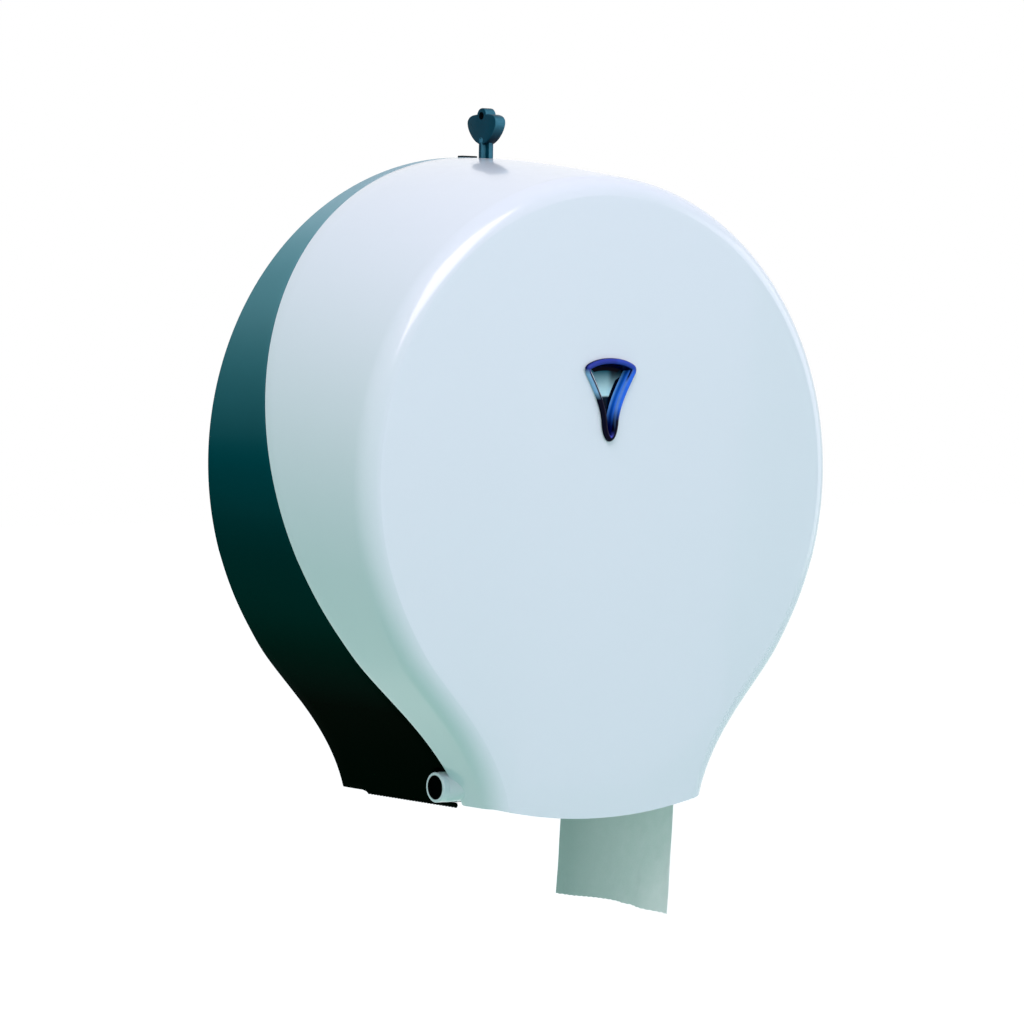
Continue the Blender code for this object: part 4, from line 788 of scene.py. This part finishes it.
def body_stations():
    """The whole outline from the left foot over the top to the right foot, with outward normals."""
    right = half_outline()
    whole = [(-x, height) for x, height in right] + right[-2::-1]
    stations = [(*whole[0], -1, 0)]
    for before, place, after in zip(whole, whole[1:], whole[2:]):
        along = (Vector(after) - Vector(before)).normalized()
        stations.append((*place, -along.y, along.x))
    return stations + [(*whole[-1], 1, 0)]


def on_body(station, depth, inset):
    """A point on the skin of the body, or a distance inward from it."""
    x, height, out_x, out_z = station
    shrink = 1 - (1 - FRONT_SHARE) * depth / DEPTH
    droop = TOP_DROOP * (1 - depth / DEPTH) ** TOP_DROOP_ONSET * height / BODY_HEIGHT
    return spot(x * shrink - inset * out_x, depth, height * shrink - droop - inset * out_z)


def parting_depth(height):
    return PARTING_FOOT_DEPTH + (PARTING_TOP_DEPTH - PARTING_FOOT_DEPTH) * height / BODY_HEIGHT


def rounded(depth, inset, radius, angles=QUARTER):
    """Rounded edge of a section: from a depth and an inset on by the radius, and in by it."""
    return [(depth + radius * math.sin(a), inset + abs(radius) * (1 - math.cos(a))) for a in angles]


def cover_section(height):
    """(depth, inset) from the front plate's outer corner, round the rear rim, to its inner corner."""
    rim = parting_depth(height) + FIT_GAP
    bend = DEPTH - COVER_EDGE_RADIUS
    angles = runs(0, math.pi / 2, EDGE_STEPS)
    outer_edge = rounded(bend, 0, COVER_EDGE_RADIUS, angles)
    inner_edge = rounded(bend, COVER_WALL, COVER_EDGE_RADIUS - COVER_WALL, angles)
    wall = runs(bend, rim + COVER_RIM_ROUND, WALL_STEPS)[1:-1]
    rim_round = rounded(rim + COVER_RIM_ROUND, 0, -COVER_RIM_ROUND)
    inner_round = [(depth, COVER_WALL - inset) for depth, inset in rim_round[::-1]]
    outer = outer_edge[::-1] + [(depth, 0) for depth in wall] + rim_round
    return outer + inner_round + [(depth, COVER_WALL) for depth in wall[::-1]] + inner_edge


def shell_section(height):
    """(depth, inset) from the back plate's outer corner, round the lip, to its inner corner."""
    rim = parting_depth(height)
    lip = COVER_WALL + LIP_GAP
    full_share = min(1, height / LIP_FULL_HEIGHT)
    reach = LIP_FOOT_REACH + (LIP_REACH - LIP_FOOT_REACH) * full_share
    back = SHELL_BACK_ROUND
    back_depth = min(back, rim * BACK_ROUND_SHARE)
    back_round = [(back_depth * (1 - math.cos(a)), back * (1 - math.sin(a))) for a in QUARTER]
    wall = [(depth, 0) for depth in runs(back_depth, rim - COVER_RIM_ROUND, WALL_STEPS)[1:-1]]
    tip, root = rim + reach, rim - LIP_ROOT
    tongue = [(rim, lip), (tip, lip), (tip, lip + LIP_WALL), (root, lip + LIP_WALL)]
    inner = [(depth, SHELL_WALL) for depth in runs(rim - 2 * LIP_ROOT, SHELL_PLATE, WALL_STEPS)]
    return back_round + wall + rounded(rim - COVER_RIM_ROUND, 0, COVER_RIM_ROUND) + tongue + inner


def dish(section, sag, sag_half_width):
    """A plate with a wall along the outline, open at the bottom, where its edge sags in the middle."""
    def drop(x):
        return sag * max(0, 1 - (x / sag_half_width) ** 2)

    shape = bmesh.new()
    loops = [[on_body(station, *place) for place in section(station[1])] for station in body_stations()]
    for place in loops[0] + loops[-1]:
        place.z -= drop(place.x)
    rows = grid(shape, loops)
    chains = []
    for k in (0, -1):
        start, end = rows[-1][k], rows[0][k]
        places = runs(start.co, end.co, PLATE_EDGE_STEPS)[1:-1]
        for place in places:
            place.z = spot(0, 0, 0).z - drop(place.x)
        chains.append([start] + [shape.verts.new(place) for place in places] + [end])
        shape.faces.new([row[k] for row in rows] + chains[-1][1:-1])
    walls = set(shape.faces)
    quads(shape, chains)
    shape.faces.new(rows[0])
    shape.faces.new(rows[-1])
    bottom = set(shape.faces) - walls
    rims = [edge for face in bottom for edge in face.edges if not set(edge.link_faces) <= bottom]
    bmesh.ops.bevel(shape, geom=rims, offset=FOOT_BEVEL, **EASED)
    return shape


# Hinge


def hinge_arc(radius, start, end):
    angles = runs(start, end, ROUND_STEPS // 2)
    return [(HINGE_DEPTH + radius * math.cos(a), HINGE_HEIGHT + radius * math.sin(a)) for a in angles]


def notch(side):
    """Room in the shell for the cover's hinge barrel and its fairing, open to the bottom."""
    top = HINGE_HEIGHT + NOTCH_RADIUS
    step = parting_depth(top) + FIT_GAP
    front = HINGE_DEPTH + FAIRING_REACH + CUT_OVERRUN
    meeting = math.acos((step - HINGE_DEPTH) / NOTCH_RADIUS)
    round_part = hinge_arc(NOTCH_RADIUS, meeting, math.pi)
    low = -CUT_OVERRUN
    square_part = [(HINGE_DEPTH - NOTCH_RADIUS, low), (front, low), (front, top), (step, top)]
    return side_slab(side, LUG_INNER - CUT_OVERRUN, BARREL_END + CUT_OVERRUN, round_part + square_part)


def lug_ear(side):
    nose = hinge_arc(LUG_RADIUS, -math.pi / 2, math.pi / 2)
    back = [(LUG_BACK_DEPTH, HINGE_HEIGHT + rise) for rise in (LUG_RADIUS, -LUG_RADIUS)]
    return side_slab(side, LUG_INNER, LUG_OUTER, nose + back)


def lug_block(side):
    low, high = HINGE_HEIGHT - LUG_RADIUS, HINGE_HEIGHT + LUG_RADIUS
    spread = LUG_BLOCK_SPREAD + (high - low) * LUG_LEAN_SHARE
    corners = ((LUG_INNER, low), (LUG_BLOCK_SPREAD, low), (spread, high), (LUG_INNER, high))
    points = [spot(side * x, LUG_BACK_DEPTH, height) for x, height in corners]
    return slab(points, TO_ROOM * LUG_BLOCK_LENGTH)


def hinge_line(side, near, far, radius, twist=ROD_TWIST):
    start, end = (spot(side * x, HINGE_DEPTH, HINGE_HEIGHT) for x in (near, far))
    return rod(radius, start, end, ROUND_STEPS, twist)


def barrel(side):
    """Hinge barrel with a rounded mouth and a fairing that swells into the side wall."""
    loops = []
    for a in QUARTER:
        radius = BARREL_RADIUS - BARREL_RIM_ROUND * (1 - math.sin(a))
        loops.append((BARREL_END - BARREL_RIM_ROUND * (1 - math.cos(a)), radius, radius))
    for share in runs(0, 1, FAIRING_STEPS)[1:]:
        x = BARREL_END - BARREL_RIM_ROUND + (BARREL_ROOT - BARREL_END + BARREL_RIM_ROUND) * share
        swell = max(0, (share - FAIRING_START_SHARE) / (1 - FAIRING_START_SHARE))
        reach = BARREL_RADIUS + (FAIRING_REACH - BARREL_RADIUS) * math.sqrt(1 - (1 - swell) ** 2)
        loops.append((x, BARREL_RADIUS, reach))
    rings = []
    for x, radius, reach in loops:
        ring = []
        for i in range(ROUND_STEPS):
            angle = math.tau * i / ROUND_STEPS - ROD_TWIST
            forward = radius * math.cos(angle) + (reach - radius) * max(0, math.cos(angle))
            ring.append(spot(side * x, HINGE_DEPTH + forward, HINGE_HEIGHT + radius * math.sin(angle)))
        rings.append(ring)
    return lofted(rings)


def build_cover(look):
    """The white cover, with its barrels, window hole, key hole and lock collar."""
    half = NECK_HALF_WIDTH * FRONT_SHARE - COVER_WALL
    cover = piece("cover_skin", dish(cover_section, APRON_SAG, half), look)
    lock = spot(0, LOCK_DEPTH, LOCK_TOP_HEIGHT)
    collar = rod(COLLAR_INNER_RADIUS + COLLAR_WALL, lock - UP * COLLAR_DROP, lock + UP * COLLAR_ROOT)
    near, far = BARREL_ROOT - CUT_OVERRUN, BARREL_END + CUT_OVERRUN
    bores = [hinge_line(side, near, far, BARREL_BORE_RADIUS, 2 * ROD_TWIST) for side in SIDES]
    hole = window_loop(WINDOW_FLANGE - FIT_GAP, DEPTH - COVER_WALL - CUT_OVERRUN)
    bores.append(slab(hole, TO_ROOM * (COVER_WALL + 2 * CUT_OVERRUN)))
    bores.append(rod(COLLAR_INNER_RADIUS, lock - UP * (COLLAR_DROP + CUT_OVERRUN), lock + UP * FIT_GAP))
    carved(
        cover,
        ("UNION", joined(barrel(-1), barrel(1))),
        ("UNION", collar),
        ("DIFFERENCE", joined(*bores)),
        ("DIFFERENCE", rod(KEYWAY_RADIUS, lock, lock + UP * (COVER_WALL + 2 * CUT_OVERRUN))),
    )
    stand_in(cover, "cover", "cover")


def wall_recess():
    """Shallow relief in the back inside a rim along the outline."""
    ring = [on_body(station, 0, WALL_RIM) for station in body_stations()]
    for end, beside in ((0, 1), (-1, -2)):
        ring[end].z += WALL_RIM
        ring[end].x = ring[beside].x
    return slab([point - TO_ROOM * CUT_OVERRUN for point in ring], TO_ROOM * (CUT_OVERRUN + WALL_RECESS))


def post(radius, x, height, back, front, steps=ROUND_STEPS):
    return rod(radius, spot(x, back, height), spot(x, front, height), steps)


def build_shell(look):
    """The dark rear shell, with its lip, pads, boss, wall fixings and hinge lugs."""
    shell = piece("rear_shell_skin", dish(shell_section, 0, NECK_HALF_WIDTH), look)
    relief = piece("recess_helper", wall_recess(), look)
    back, front = -CUT_OVERRUN, SHELL_PLATE + CUT_OVERRUN
    pads = [post(SPINDLE_PAD_RADIUS, 0, SPINDLE_HEIGHT, back, WALL_RECESS)]
    pads += [post(FIXING_PAD_RADIUS, x, height, back, WALL_RECESS) for x, height, _ in FIXINGS]
    carved(relief, ("DIFFERENCE", joined(*pads)))
    recess = bmesh.new()
    recess.from_mesh(relief.data)
    bpy.data.objects.remove(relief)

    boss_half = STRIKE_HALF_WIDTH + STRIKE_BOSS_MARGIN
    boss_low = spot(-boss_half, SHELL_PLATE + STRIKE_BOSS, STRIKE_FOOT_HEIGHT - STRIKE_BOSS_MARGIN)
    boss_high = spot(boss_half, SHELL_PLATE / 2, STRIKE_TOP_HEIGHT + STRIKE_BOSS_MARGIN)
    pad_top = SHELL_PLATE + SPINDLE_PAD_HEIGHT
    pad = post(SPINDLE_PAD_RADIUS, 0, SPINDLE_HEIGHT, SHELL_PLATE / 2, pad_top, 2 * ROUND_STEPS)
    ridge_top = BODY_HEIGHT - TOP_DROOP + RIDGE_RISE
    ridge = block(
        spot(-RIDGE_HALF_WIDTH, RIDGE_FRONT_DEPTH, ridge_top - RIDGE_RISE - SHELL_WALL / 2),
        spot(RIDGE_HALF_WIDTH, RIDGE_FRONT_DEPTH - RIDGE_LENGTH, ridge_top),
    )
    bmesh.ops.bevel(ridge, geom=ridge.edges[:], offset=RIDGE_ROUND, **EASED)

    cuts = [notch(side) for side in SIDES]
    slots = []
    for x, height, level in FIXINGS:
        radius = KEYHOLE_ENTRY_RADIUS if level > 0 else FIXING_HOLE_RADIUS
        cuts.append(post(radius, x, height, back, front))
        if level > 0:
            low = spot(x - FIXING_HOLE_RADIUS, front, height)
            slots.append(block(low, spot(x + FIXING_HOLE_RADIUS, back, height + KEYHOLE_RISE)))

    lugs = [("UNION", part(side)) for part in (lug_block, lug_ear) for side in SIDES]
    bores, seats = [], []
    start, floor = LUG_INNER - CUT_OVERRUN, LUG_INNER + PIN_HEAD + FIT_GAP
    for side in SIDES:
        bores.append(hinge_line(side, start, LUG_OUTER + CUT_OVERRUN, PIN_RADIUS + FIT_GAP))
        seats.append(hinge_line(side, start, floor, PIN_HEAD_RADIUS + FIT_GAP, 2 * ROD_TWIST))
    carved(
        shell,
        ("DIFFERENCE", recess),
        ("UNION", joined(block(boss_low, boss_high), pad, ridge)),
        ("DIFFERENCE", joined(*cuts)),
        ("DIFFERENCE", joined(*slots)),
        *lugs,
        ("DIFFERENCE", joined(*bores)),
        ("DIFFERENCE", joined(*seats)),
    )
    stand_in(shell, "shell", "rear_shell")


# Window


def closed_outline(pieces, steps, half_width, height):
    """The outline from its foot round to the right, from Bezier pieces of its right half in shares."""
    right = []
    for shares in pieces:
        part = interpolate_bezier(*[Vector(share) for share in shares], steps + 1)
        right += [(point.x * half_width, point.y * height) for point in part[:-1]]
    x, y = pieces[-1][-1]
    return right + [(x * half_width, y * height)] + [(-x, y) for x, y in right[:0:-1]]


def moved_in(points, inset):
    """An outline moved inward along its own normals."""
    moved = []
    for before, (x, y), after in zip(points[-1:] + points, points, points[1:] + points[:1]):
        along = (Vector(after) - Vector(before)).normalized()
        moved.append((x - along.y * inset, y + along.x * inset))
    return moved


def window_outline(inset):
    """The window's outline moved in by a distance, which its narrow foot limits."""
    outline = closed_outline(WINDOW_OUTLINE_SHARES, WINDOW_STEPS, WINDOW_HALF_WIDTH, WINDOW_HEIGHT)
    points = []
    for (x, z), (moved_x, moved_z) in zip(outline, moved_in(outline, inset)):
        across = max(WINDOW_LEAST_SHARE * abs(x), moved_x if x > 0 else -moved_x)
        points.append((math.copysign(across, x) if x else 0, max(moved_z, inset)))
    return points


def window_loop(inset, depth, share=1):
    """One ring of the window, drawn towards the middle of its upper part by a share below 1."""
    middle = WINDOW_HEIGHT * WINDOW_MIDDLE_SHARE
    ring = [(x * share, middle + (z - middle) * share) for x, z in window_outline(inset)]
    return [spot(x, depth, WINDOW_TIP_HEIGHT + z) for x, z in ring]


def build_window():
    """Rounded rim and its plug, and the sunk crowned pane inside a border painted dark as shade."""
    seat = DEPTH + FIT_GAP
    plug_end = seat - WINDOW_PLUG_LENGTH
    pane_depth = DEPTH + WINDOW_RIM_RISE - WINDOW_PANE_DROP
    half, rise = WINDOW_RIM_WIDTH / 2, WINDOW_RIM_RISE - FIT_GAP
    outer, inner = WINDOW_FLANGE, WINDOW_FLANGE + WINDOW_WALL
    places = [(inner, pane_depth - WINDOW_WALL), (inner, plug_end)]
    places += [(outer, plug_end), (outer, seat), (0, seat)]
    for a in runs(0, math.pi, 2 * WINDOW_RIM_STEPS)[1:]:
        places.append((half * (1 - math.cos(a)), seat + rise * math.sin(a)))
    shape = bmesh.new()
    rings = grid(shape, [window_loop(*place) for place in places], True)
    foot = [shape.verts.new(point) for point in window_loop(WINDOW_PANE_INSET, pane_depth)]
    quads(shape, [rings[-1], foot], True, 1)
    quads(shape, [foot, rings[0]], True)
    rim = piece("window_rim", merged(shape), material("window_rim_blue"))
    rim.data.materials.append(material("window_wall_blue"))
    stand_in(rim, "cover", "level_window")

    pane = bmesh.new()
    crown = [
        window_loop(WINDOW_VIEW_INSET, pane_depth + WINDOW_PANE_CROWN * (1 - share ** 2), share)
        for share in runs(1, 0, WINDOW_CROWN_STEPS)[:-1]
    ]
    grid(pane, [window_loop(WINDOW_PANE_INSET, pane_depth), crown[0]], True, 1)
    last = grid(pane, crown, True)[-1]
    centre = WINDOW_TIP_HEIGHT + WINDOW_HEIGHT * WINDOW_MIDDLE_SHARE
    tip = pane.verts.new(spot(0, pane_depth + WINDOW_PANE_CROWN, centre))
    for i, vert in enumerate(last):
        pane.faces.new((vert, last[(i + 1) % len(last)], tip))
    glass = piece("window_pane", pushed(merged(pane), -TO_ROOM * WINDOW_WALL), material("window_pane_teal"))
    glass.data.materials.append(material("window_border_painted_shade"))
    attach(glass, "cover")


# Key


def build_key(look):
    """The key: a round-shouldered head with an eye, on a crossed blade."""
    low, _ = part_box("key")
    foot = spot(0, LOCK_DEPTH, KEY_HEAD_FOOT_HEIGHT)
    half = KEY_THICKNESS / 2
    outline = closed_outline(KEY_OUTLINE_SHARES, KEY_STEPS, KEY_HALF_WIDTH, KEY_HEAD_HEIGHT)
    loops = [(KEY_BEVEL * (1 - math.sin(a)), -half + KEY_BEVEL * (1 - math.cos(a))) for a in QUARTER]
    loops += [(inset, -x) for inset, x in loops[::-1]]
    rings = [[foot + Vector((x, -y, z)) for y, z in moved_in(outline, inset)] for inset, x in loops]
    key = piece("key_skin", lofted(rings), look)
    eye = foot + UP * KEY_EYE_RISE
    boss_profile = [(KEY_EYE_RADIUS - inset, x + half) for inset, x in loops]
    boss = turned(boss_profile, eye - RIGHT * half, RIGHT, ROUND_STEPS, ROD_TWIST)
    drop = UP * (foot.z - low.z)
    blades = []
    for wide, thin in ((KEY_BLADE_WIDTH, KEY_BLADE_THICKNESS), (KEY_BLADE_THICKNESS, KEY_BLADE_WIDTH)):
        spread = Vector((wide, thin, 0)) / 2
        blades.append(block(foot - spread - drop, foot + spread + UP * KEY_BLADE_ROOT))
    through = half + CUT_OVERRUN
    hole = rod(KEY_EYE_HOLE_RADIUS, eye - RIGHT * through, eye + RIGHT * through)
    face = foot + UP * KEY_DIMPLE_RISE - RIGHT * half
    dimple = rod(KEY_DIMPLE_RADIUS, face - RIGHT * CUT_OVERRUN, face + RIGHT * KEY_DIMPLE_DEPTH)
    added = [("UNION", shape) for shape in (boss, *blades)]
    carved(key, *added, ("DIFFERENCE", joined(hole, dimple)))
    stand_in(key, "key", "key")


# Paper


def build_ring(name, inner, outer, turn, look):
    """A ring as wide as the roll, with eased edges."""
    edge = rounded(outer - turn, 0, turn)
    profile = [(inner, turn), (inner + turn, 0)] + edge
    profile += [(radius, ROLL_WIDTH - along) for radius, along in edge[::-1]]
    profile += [(inner + turn, ROLL_WIDTH), (inner, ROLL_WIDTH - turn), (inner, turn)]
    start = spot(0, ROLL_BACK_DEPTH, SPINDLE_HEIGHT)
    return piece(name, turned(profile, start, TO_ROOM, ROLL_STEPS), look)


def build_roll():
    """The wound paper and its core."""
    bore = CORE_OUTER_RADIUS + FIT_GAP
    wound = build_ring("wound_paper", bore, ROLL_RADIUS, ROLL_EDGE_ROUND, wound_material())
    stand_in(wound, "roll", "paper_roll")
    hollow = CORE_OUTER_RADIUS - CORE_WALL
    core = build_ring("card_core", hollow, CORE_OUTER_RADIUS, CORE_EDGE_ROUND, material("core_card"))
    stand_in(core, "roll", "roll_core")


def tail_path():
    """Path of the free paper as (x, height, share of the hanging length)."""
    reach = ROLL_RADIUS + TAIL_ROLL_GAP
    sine, cosine = math.sin(TAIL_LEAVE_ANGLE), math.cos(TAIL_LEAVE_ANGLE)
    leave = Vector((reach * cosine, SPINDLE_HEIGHT - reach * sine))
    outlet = Vector((TAIL_OUTLET_HALF, TAIL_OUTLET_HEIGHT))
    leave_aim = leave - Vector((sine, cosine)) * TAIL_LEAVE_PULL
    outlet_aim = outlet + Vector((TAIL_OUTLET_LEAN_SHARE, 1)) * TAIL_OUTLET_PULL
    inner = interpolate_bezier(leave, leave_aim, outlet_aim, outlet, TAIL_INNER_STEPS + 1)
    path = [(*point, 0) for point in inner]
    for share in runs(0, 1, TAIL_HANGING_STEPS)[1:]:
        height = TAIL_OUTLET_HEIGHT - (TAIL_OUTLET_HEIGHT + TAIL_DROP) * share
        path.append((TAIL_OUTLET_HALF - TAIL_CURL * share, height, share))
    return path


def tail_fold(across, share):
    """How far soft folds and small crinkles push the hanging paper sideways."""
    push = 0
    for place, width, size in TAIL_FOLDS_SHARES:
        push += size * math.exp(-(((across - place) / width) ** 2))
    fast, slant, slow, bend = TAIL_CRINKLE_WAVES
    crinkle = math.sin(fast * across + slant * share) * math.sin(slow * share + bend * across ** 2)
    return -(TAIL_FOLD * push * share ** 2 + TAIL_CRINKLE * crinkle * share)


def build_tail(look):
    """The free end of the paper, with its folds and a torn edge."""
    path = tail_path()
    shape = bmesh.new()
    rows = []
    for x, height, share in path:
        row = []
        for across in runs(0, 1, TAIL_WIDTH_STEPS):
            along = ROLL_WIDTH * across
            torn = TAIL_TORN_RISE * math.sin(math.pi * across) ** 2 * share ** TAIL_TORN_ONSET
            tear = TAIL_TEAR * (1 + math.sin(math.tau * along / TAIL_TEAR_PITCH)) / 2
            rise = torn + tear * share ** TAIL_TEAR_ONSET
            row.append(spot(x + tail_fold(across, share), ROLL_BACK_DEPTH + along, height + rise))
        rows.append(row)
    outer = grid(shape, rows)
    inner = grid(shape, [[place - RIGHT * TAIL_PLY for place in row] for row in rows])
    for k in (0, -1):
        quads(shape, [outer[k], inner[k]])
        quads(shape, [[row[k] for row in layer] for layer in (outer, inner)])
    tail = piece("paper_sheet", shape, look)
    stand_in(tail, "shell", "paper_tail")
    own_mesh(tail)


# Carried-over nodes


def dress(frame, names, look, bevel):
    """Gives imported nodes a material, welds their faceted copies and eases the edges."""
    for name in names:
        node = frame["nodes"][name]
        node.data.materials.clear()
        node.data.materials.append(look)
        node.data.shade_smooth()
        weld = node.modifiers.new("weld", "WELD")
        weld.merge_threshold = PACKED_MERGE
        ease = node.modifiers.new("ease", "BEVEL")
        ease.width = bevel
        ease.segments = EASED["segments"]
        ease.limit_method = "ANGLE"
        ease.angle_limit = SHARP_ANGLE
        ease.harden_normals = True


# Stage


def build_lights():
    """Square lamps that light surfaces, are mirrored in glossy ones, or both."""
    for name, (place, aim, size, energy, colour, lights, mirrored) in LAMPS.items():
        light = bpy.data.lights.new(name, "AREA")
        light.shape = "SQUARE"
        light.size = size
        light.energy = energy
        light.color = colour
        lamp = placed(name, light)
        lamp.location = place
        lamp.rotation_euler = (Vector(aim) - Vector(place)).to_track_quat("-Z", "Y").to_euler()
        lamp.visible_diffuse = lights
        lamp.visible_glossy = mirrored


def seen_or_cast(tree, cast, seen, output):
    """Gives the output one shader for the light that it casts, and another for the rays that see it."""
    path = add_node(tree, "ShaderNodeLightPath").outputs
    rays = path["Is Camera Ray"]
    for kind in ("Is Glossy Ray", "Is Transmission Ray"):
        either = add_node(tree, "ShaderNodeMath", {0: rays, 1: path[kind]}, operation="MAXIMUM")
        rays = either.outputs["Value"]
    mix = add_node(tree, "ShaderNodeMixShader", {"Fac": rays, 1: cast, 2: seen})
    tree.links.new(mix.outputs["Shader"], output.inputs["Surface"])


def build_world():
    """White where it is seen. What it casts on the object is dim below and brighter above."""
    world = bpy.data.worlds.new("studio")
    world.use_nodes = True
    bpy.context.scene.world = world
    tree = world.node_tree
    tree.nodes.clear()
    place = add_node(tree, "ShaderNodeTexCoord")
    split = add_node(tree, "ShaderNodeSeparateXYZ", {"Vector": place.outputs["Generated"]})
    lift = add_node(tree, "ShaderNodeMapRange", {"Value": split.outputs["Z"], "From Min": -1})
    ramp = add_node(tree, "ShaderNodeValToRGB", {"Fac": lift.outputs["Result"]})
    set_stops(ramp.color_ramp, WORLD_STOPS)
    studio = add_node(tree, "ShaderNodeBackground", {"Color": ramp.outputs["Color"]})
    backdrop = add_node(tree, "ShaderNodeBackground", {"Color": WHITE})
    output = add_node(tree, "ShaderNodeOutputWorld")
    seen_or_cast(tree, studio.outputs["Background"], backdrop.outputs["Background"], output)


def build_floor():
    """A floor that is seen as pale and keeps the object's shadow."""
    shape = bmesh.new()
    level = Matrix.Translation(DOWN * FLOOR_DROP)
    bmesh.ops.create_grid(shape, x_segments=1, y_segments=1, size=FLOOR_HALF, matrix=level)
    made = material("pale_floor")
    tree = made.node_tree
    shader = tree.nodes["Principled BSDF"]
    bounce = add_node(tree, "ShaderNodeBsdfDiffuse", {"Color": FLOOR_BOUNCE})
    glow = add_node(tree, "ShaderNodeEmission", {"Color": WHITE, "Strength": FLOOR_GLOW})
    lit = add_node(tree, "ShaderNodeAddShader", {0: shader.outputs["BSDF"], 1: glow.outputs["Emission"]})
    seen_or_cast(tree, bounce.outputs["BSDF"], lit.outputs["Shader"], tree.nodes["Material Output"])
    piece("floor", shape, made)


def build_camera():
    """The photograph's camera: its place, roll, lens and framing."""
    camera = bpy.data.cameras.new("camera")
    camera.sensor_width = CAMERA_SENSOR
    camera.lens = CAMERA_SENSOR * PIXELS_PER_MM * CAMERA_DISTANCE / MM / IMAGE_PIXELS
    camera.shift_x = (IMAGE_PIXELS / 2 - AIM_PIXEL_X) / IMAGE_PIXELS
    camera.shift_y = (AIM_PIXEL_Y - IMAGE_PIXELS / 2) / IMAGE_PIXELS
    rig = placed("camera", camera)
    tilt = Matrix.Rotation(math.pi / 2 - CAMERA_ELEVATION, 4, "X")
    turn = Matrix.Rotation(CAMERA_AZIMUTH, 4, "Z") @ tilt
    place = spot(0, CAMERA_AIM_DEPTH, CAMERA_AIM_HEIGHT) + turn @ (UP * CAMERA_DISTANCE)
    rig.matrix_world = Matrix.Translation(place) @ turn @ Matrix.Rotation(CAMERA_ROLL, 4, "Z")
    bpy.context.scene.camera = rig


def corners(box):
    return [list(box[0]), list(box[1])]


def main():
    for leftover in list(bpy.data.objects):
        bpy.data.objects.remove(leftover)
    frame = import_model()
    bpy.context.scene.view_settings.view_transform = "Standard"
    build_camera()
    build_world()
    build_lights()
    build_floor()

    dark = material("shell_dark_plastic")
    build_cover(material("cover_gloss_plastic"))
    build_shell(dark)
    build_window()
    build_key(material("key_petrol_plastic"))
    build_roll()
    build_tail(material("tissue_paper"))
    dress(frame, ("cutter_left", "cutter_right"), dark, TRIM_BEVEL)
    dress(frame, ("hinge_pin_left", "hinge_pin_right"), material("pin_black_painted_shade"), TRIM_BEVEL)
    dress(frame, GREY_NODES, material("moulded_grey_plastic"), MOULDED_BEVEL)
    screws = [name for name in frame["nodes"] if "screw" in name]
    dress(frame, screws + ["lock_cam"], material("bright_steel"), SCREW_BEVEL)


main()
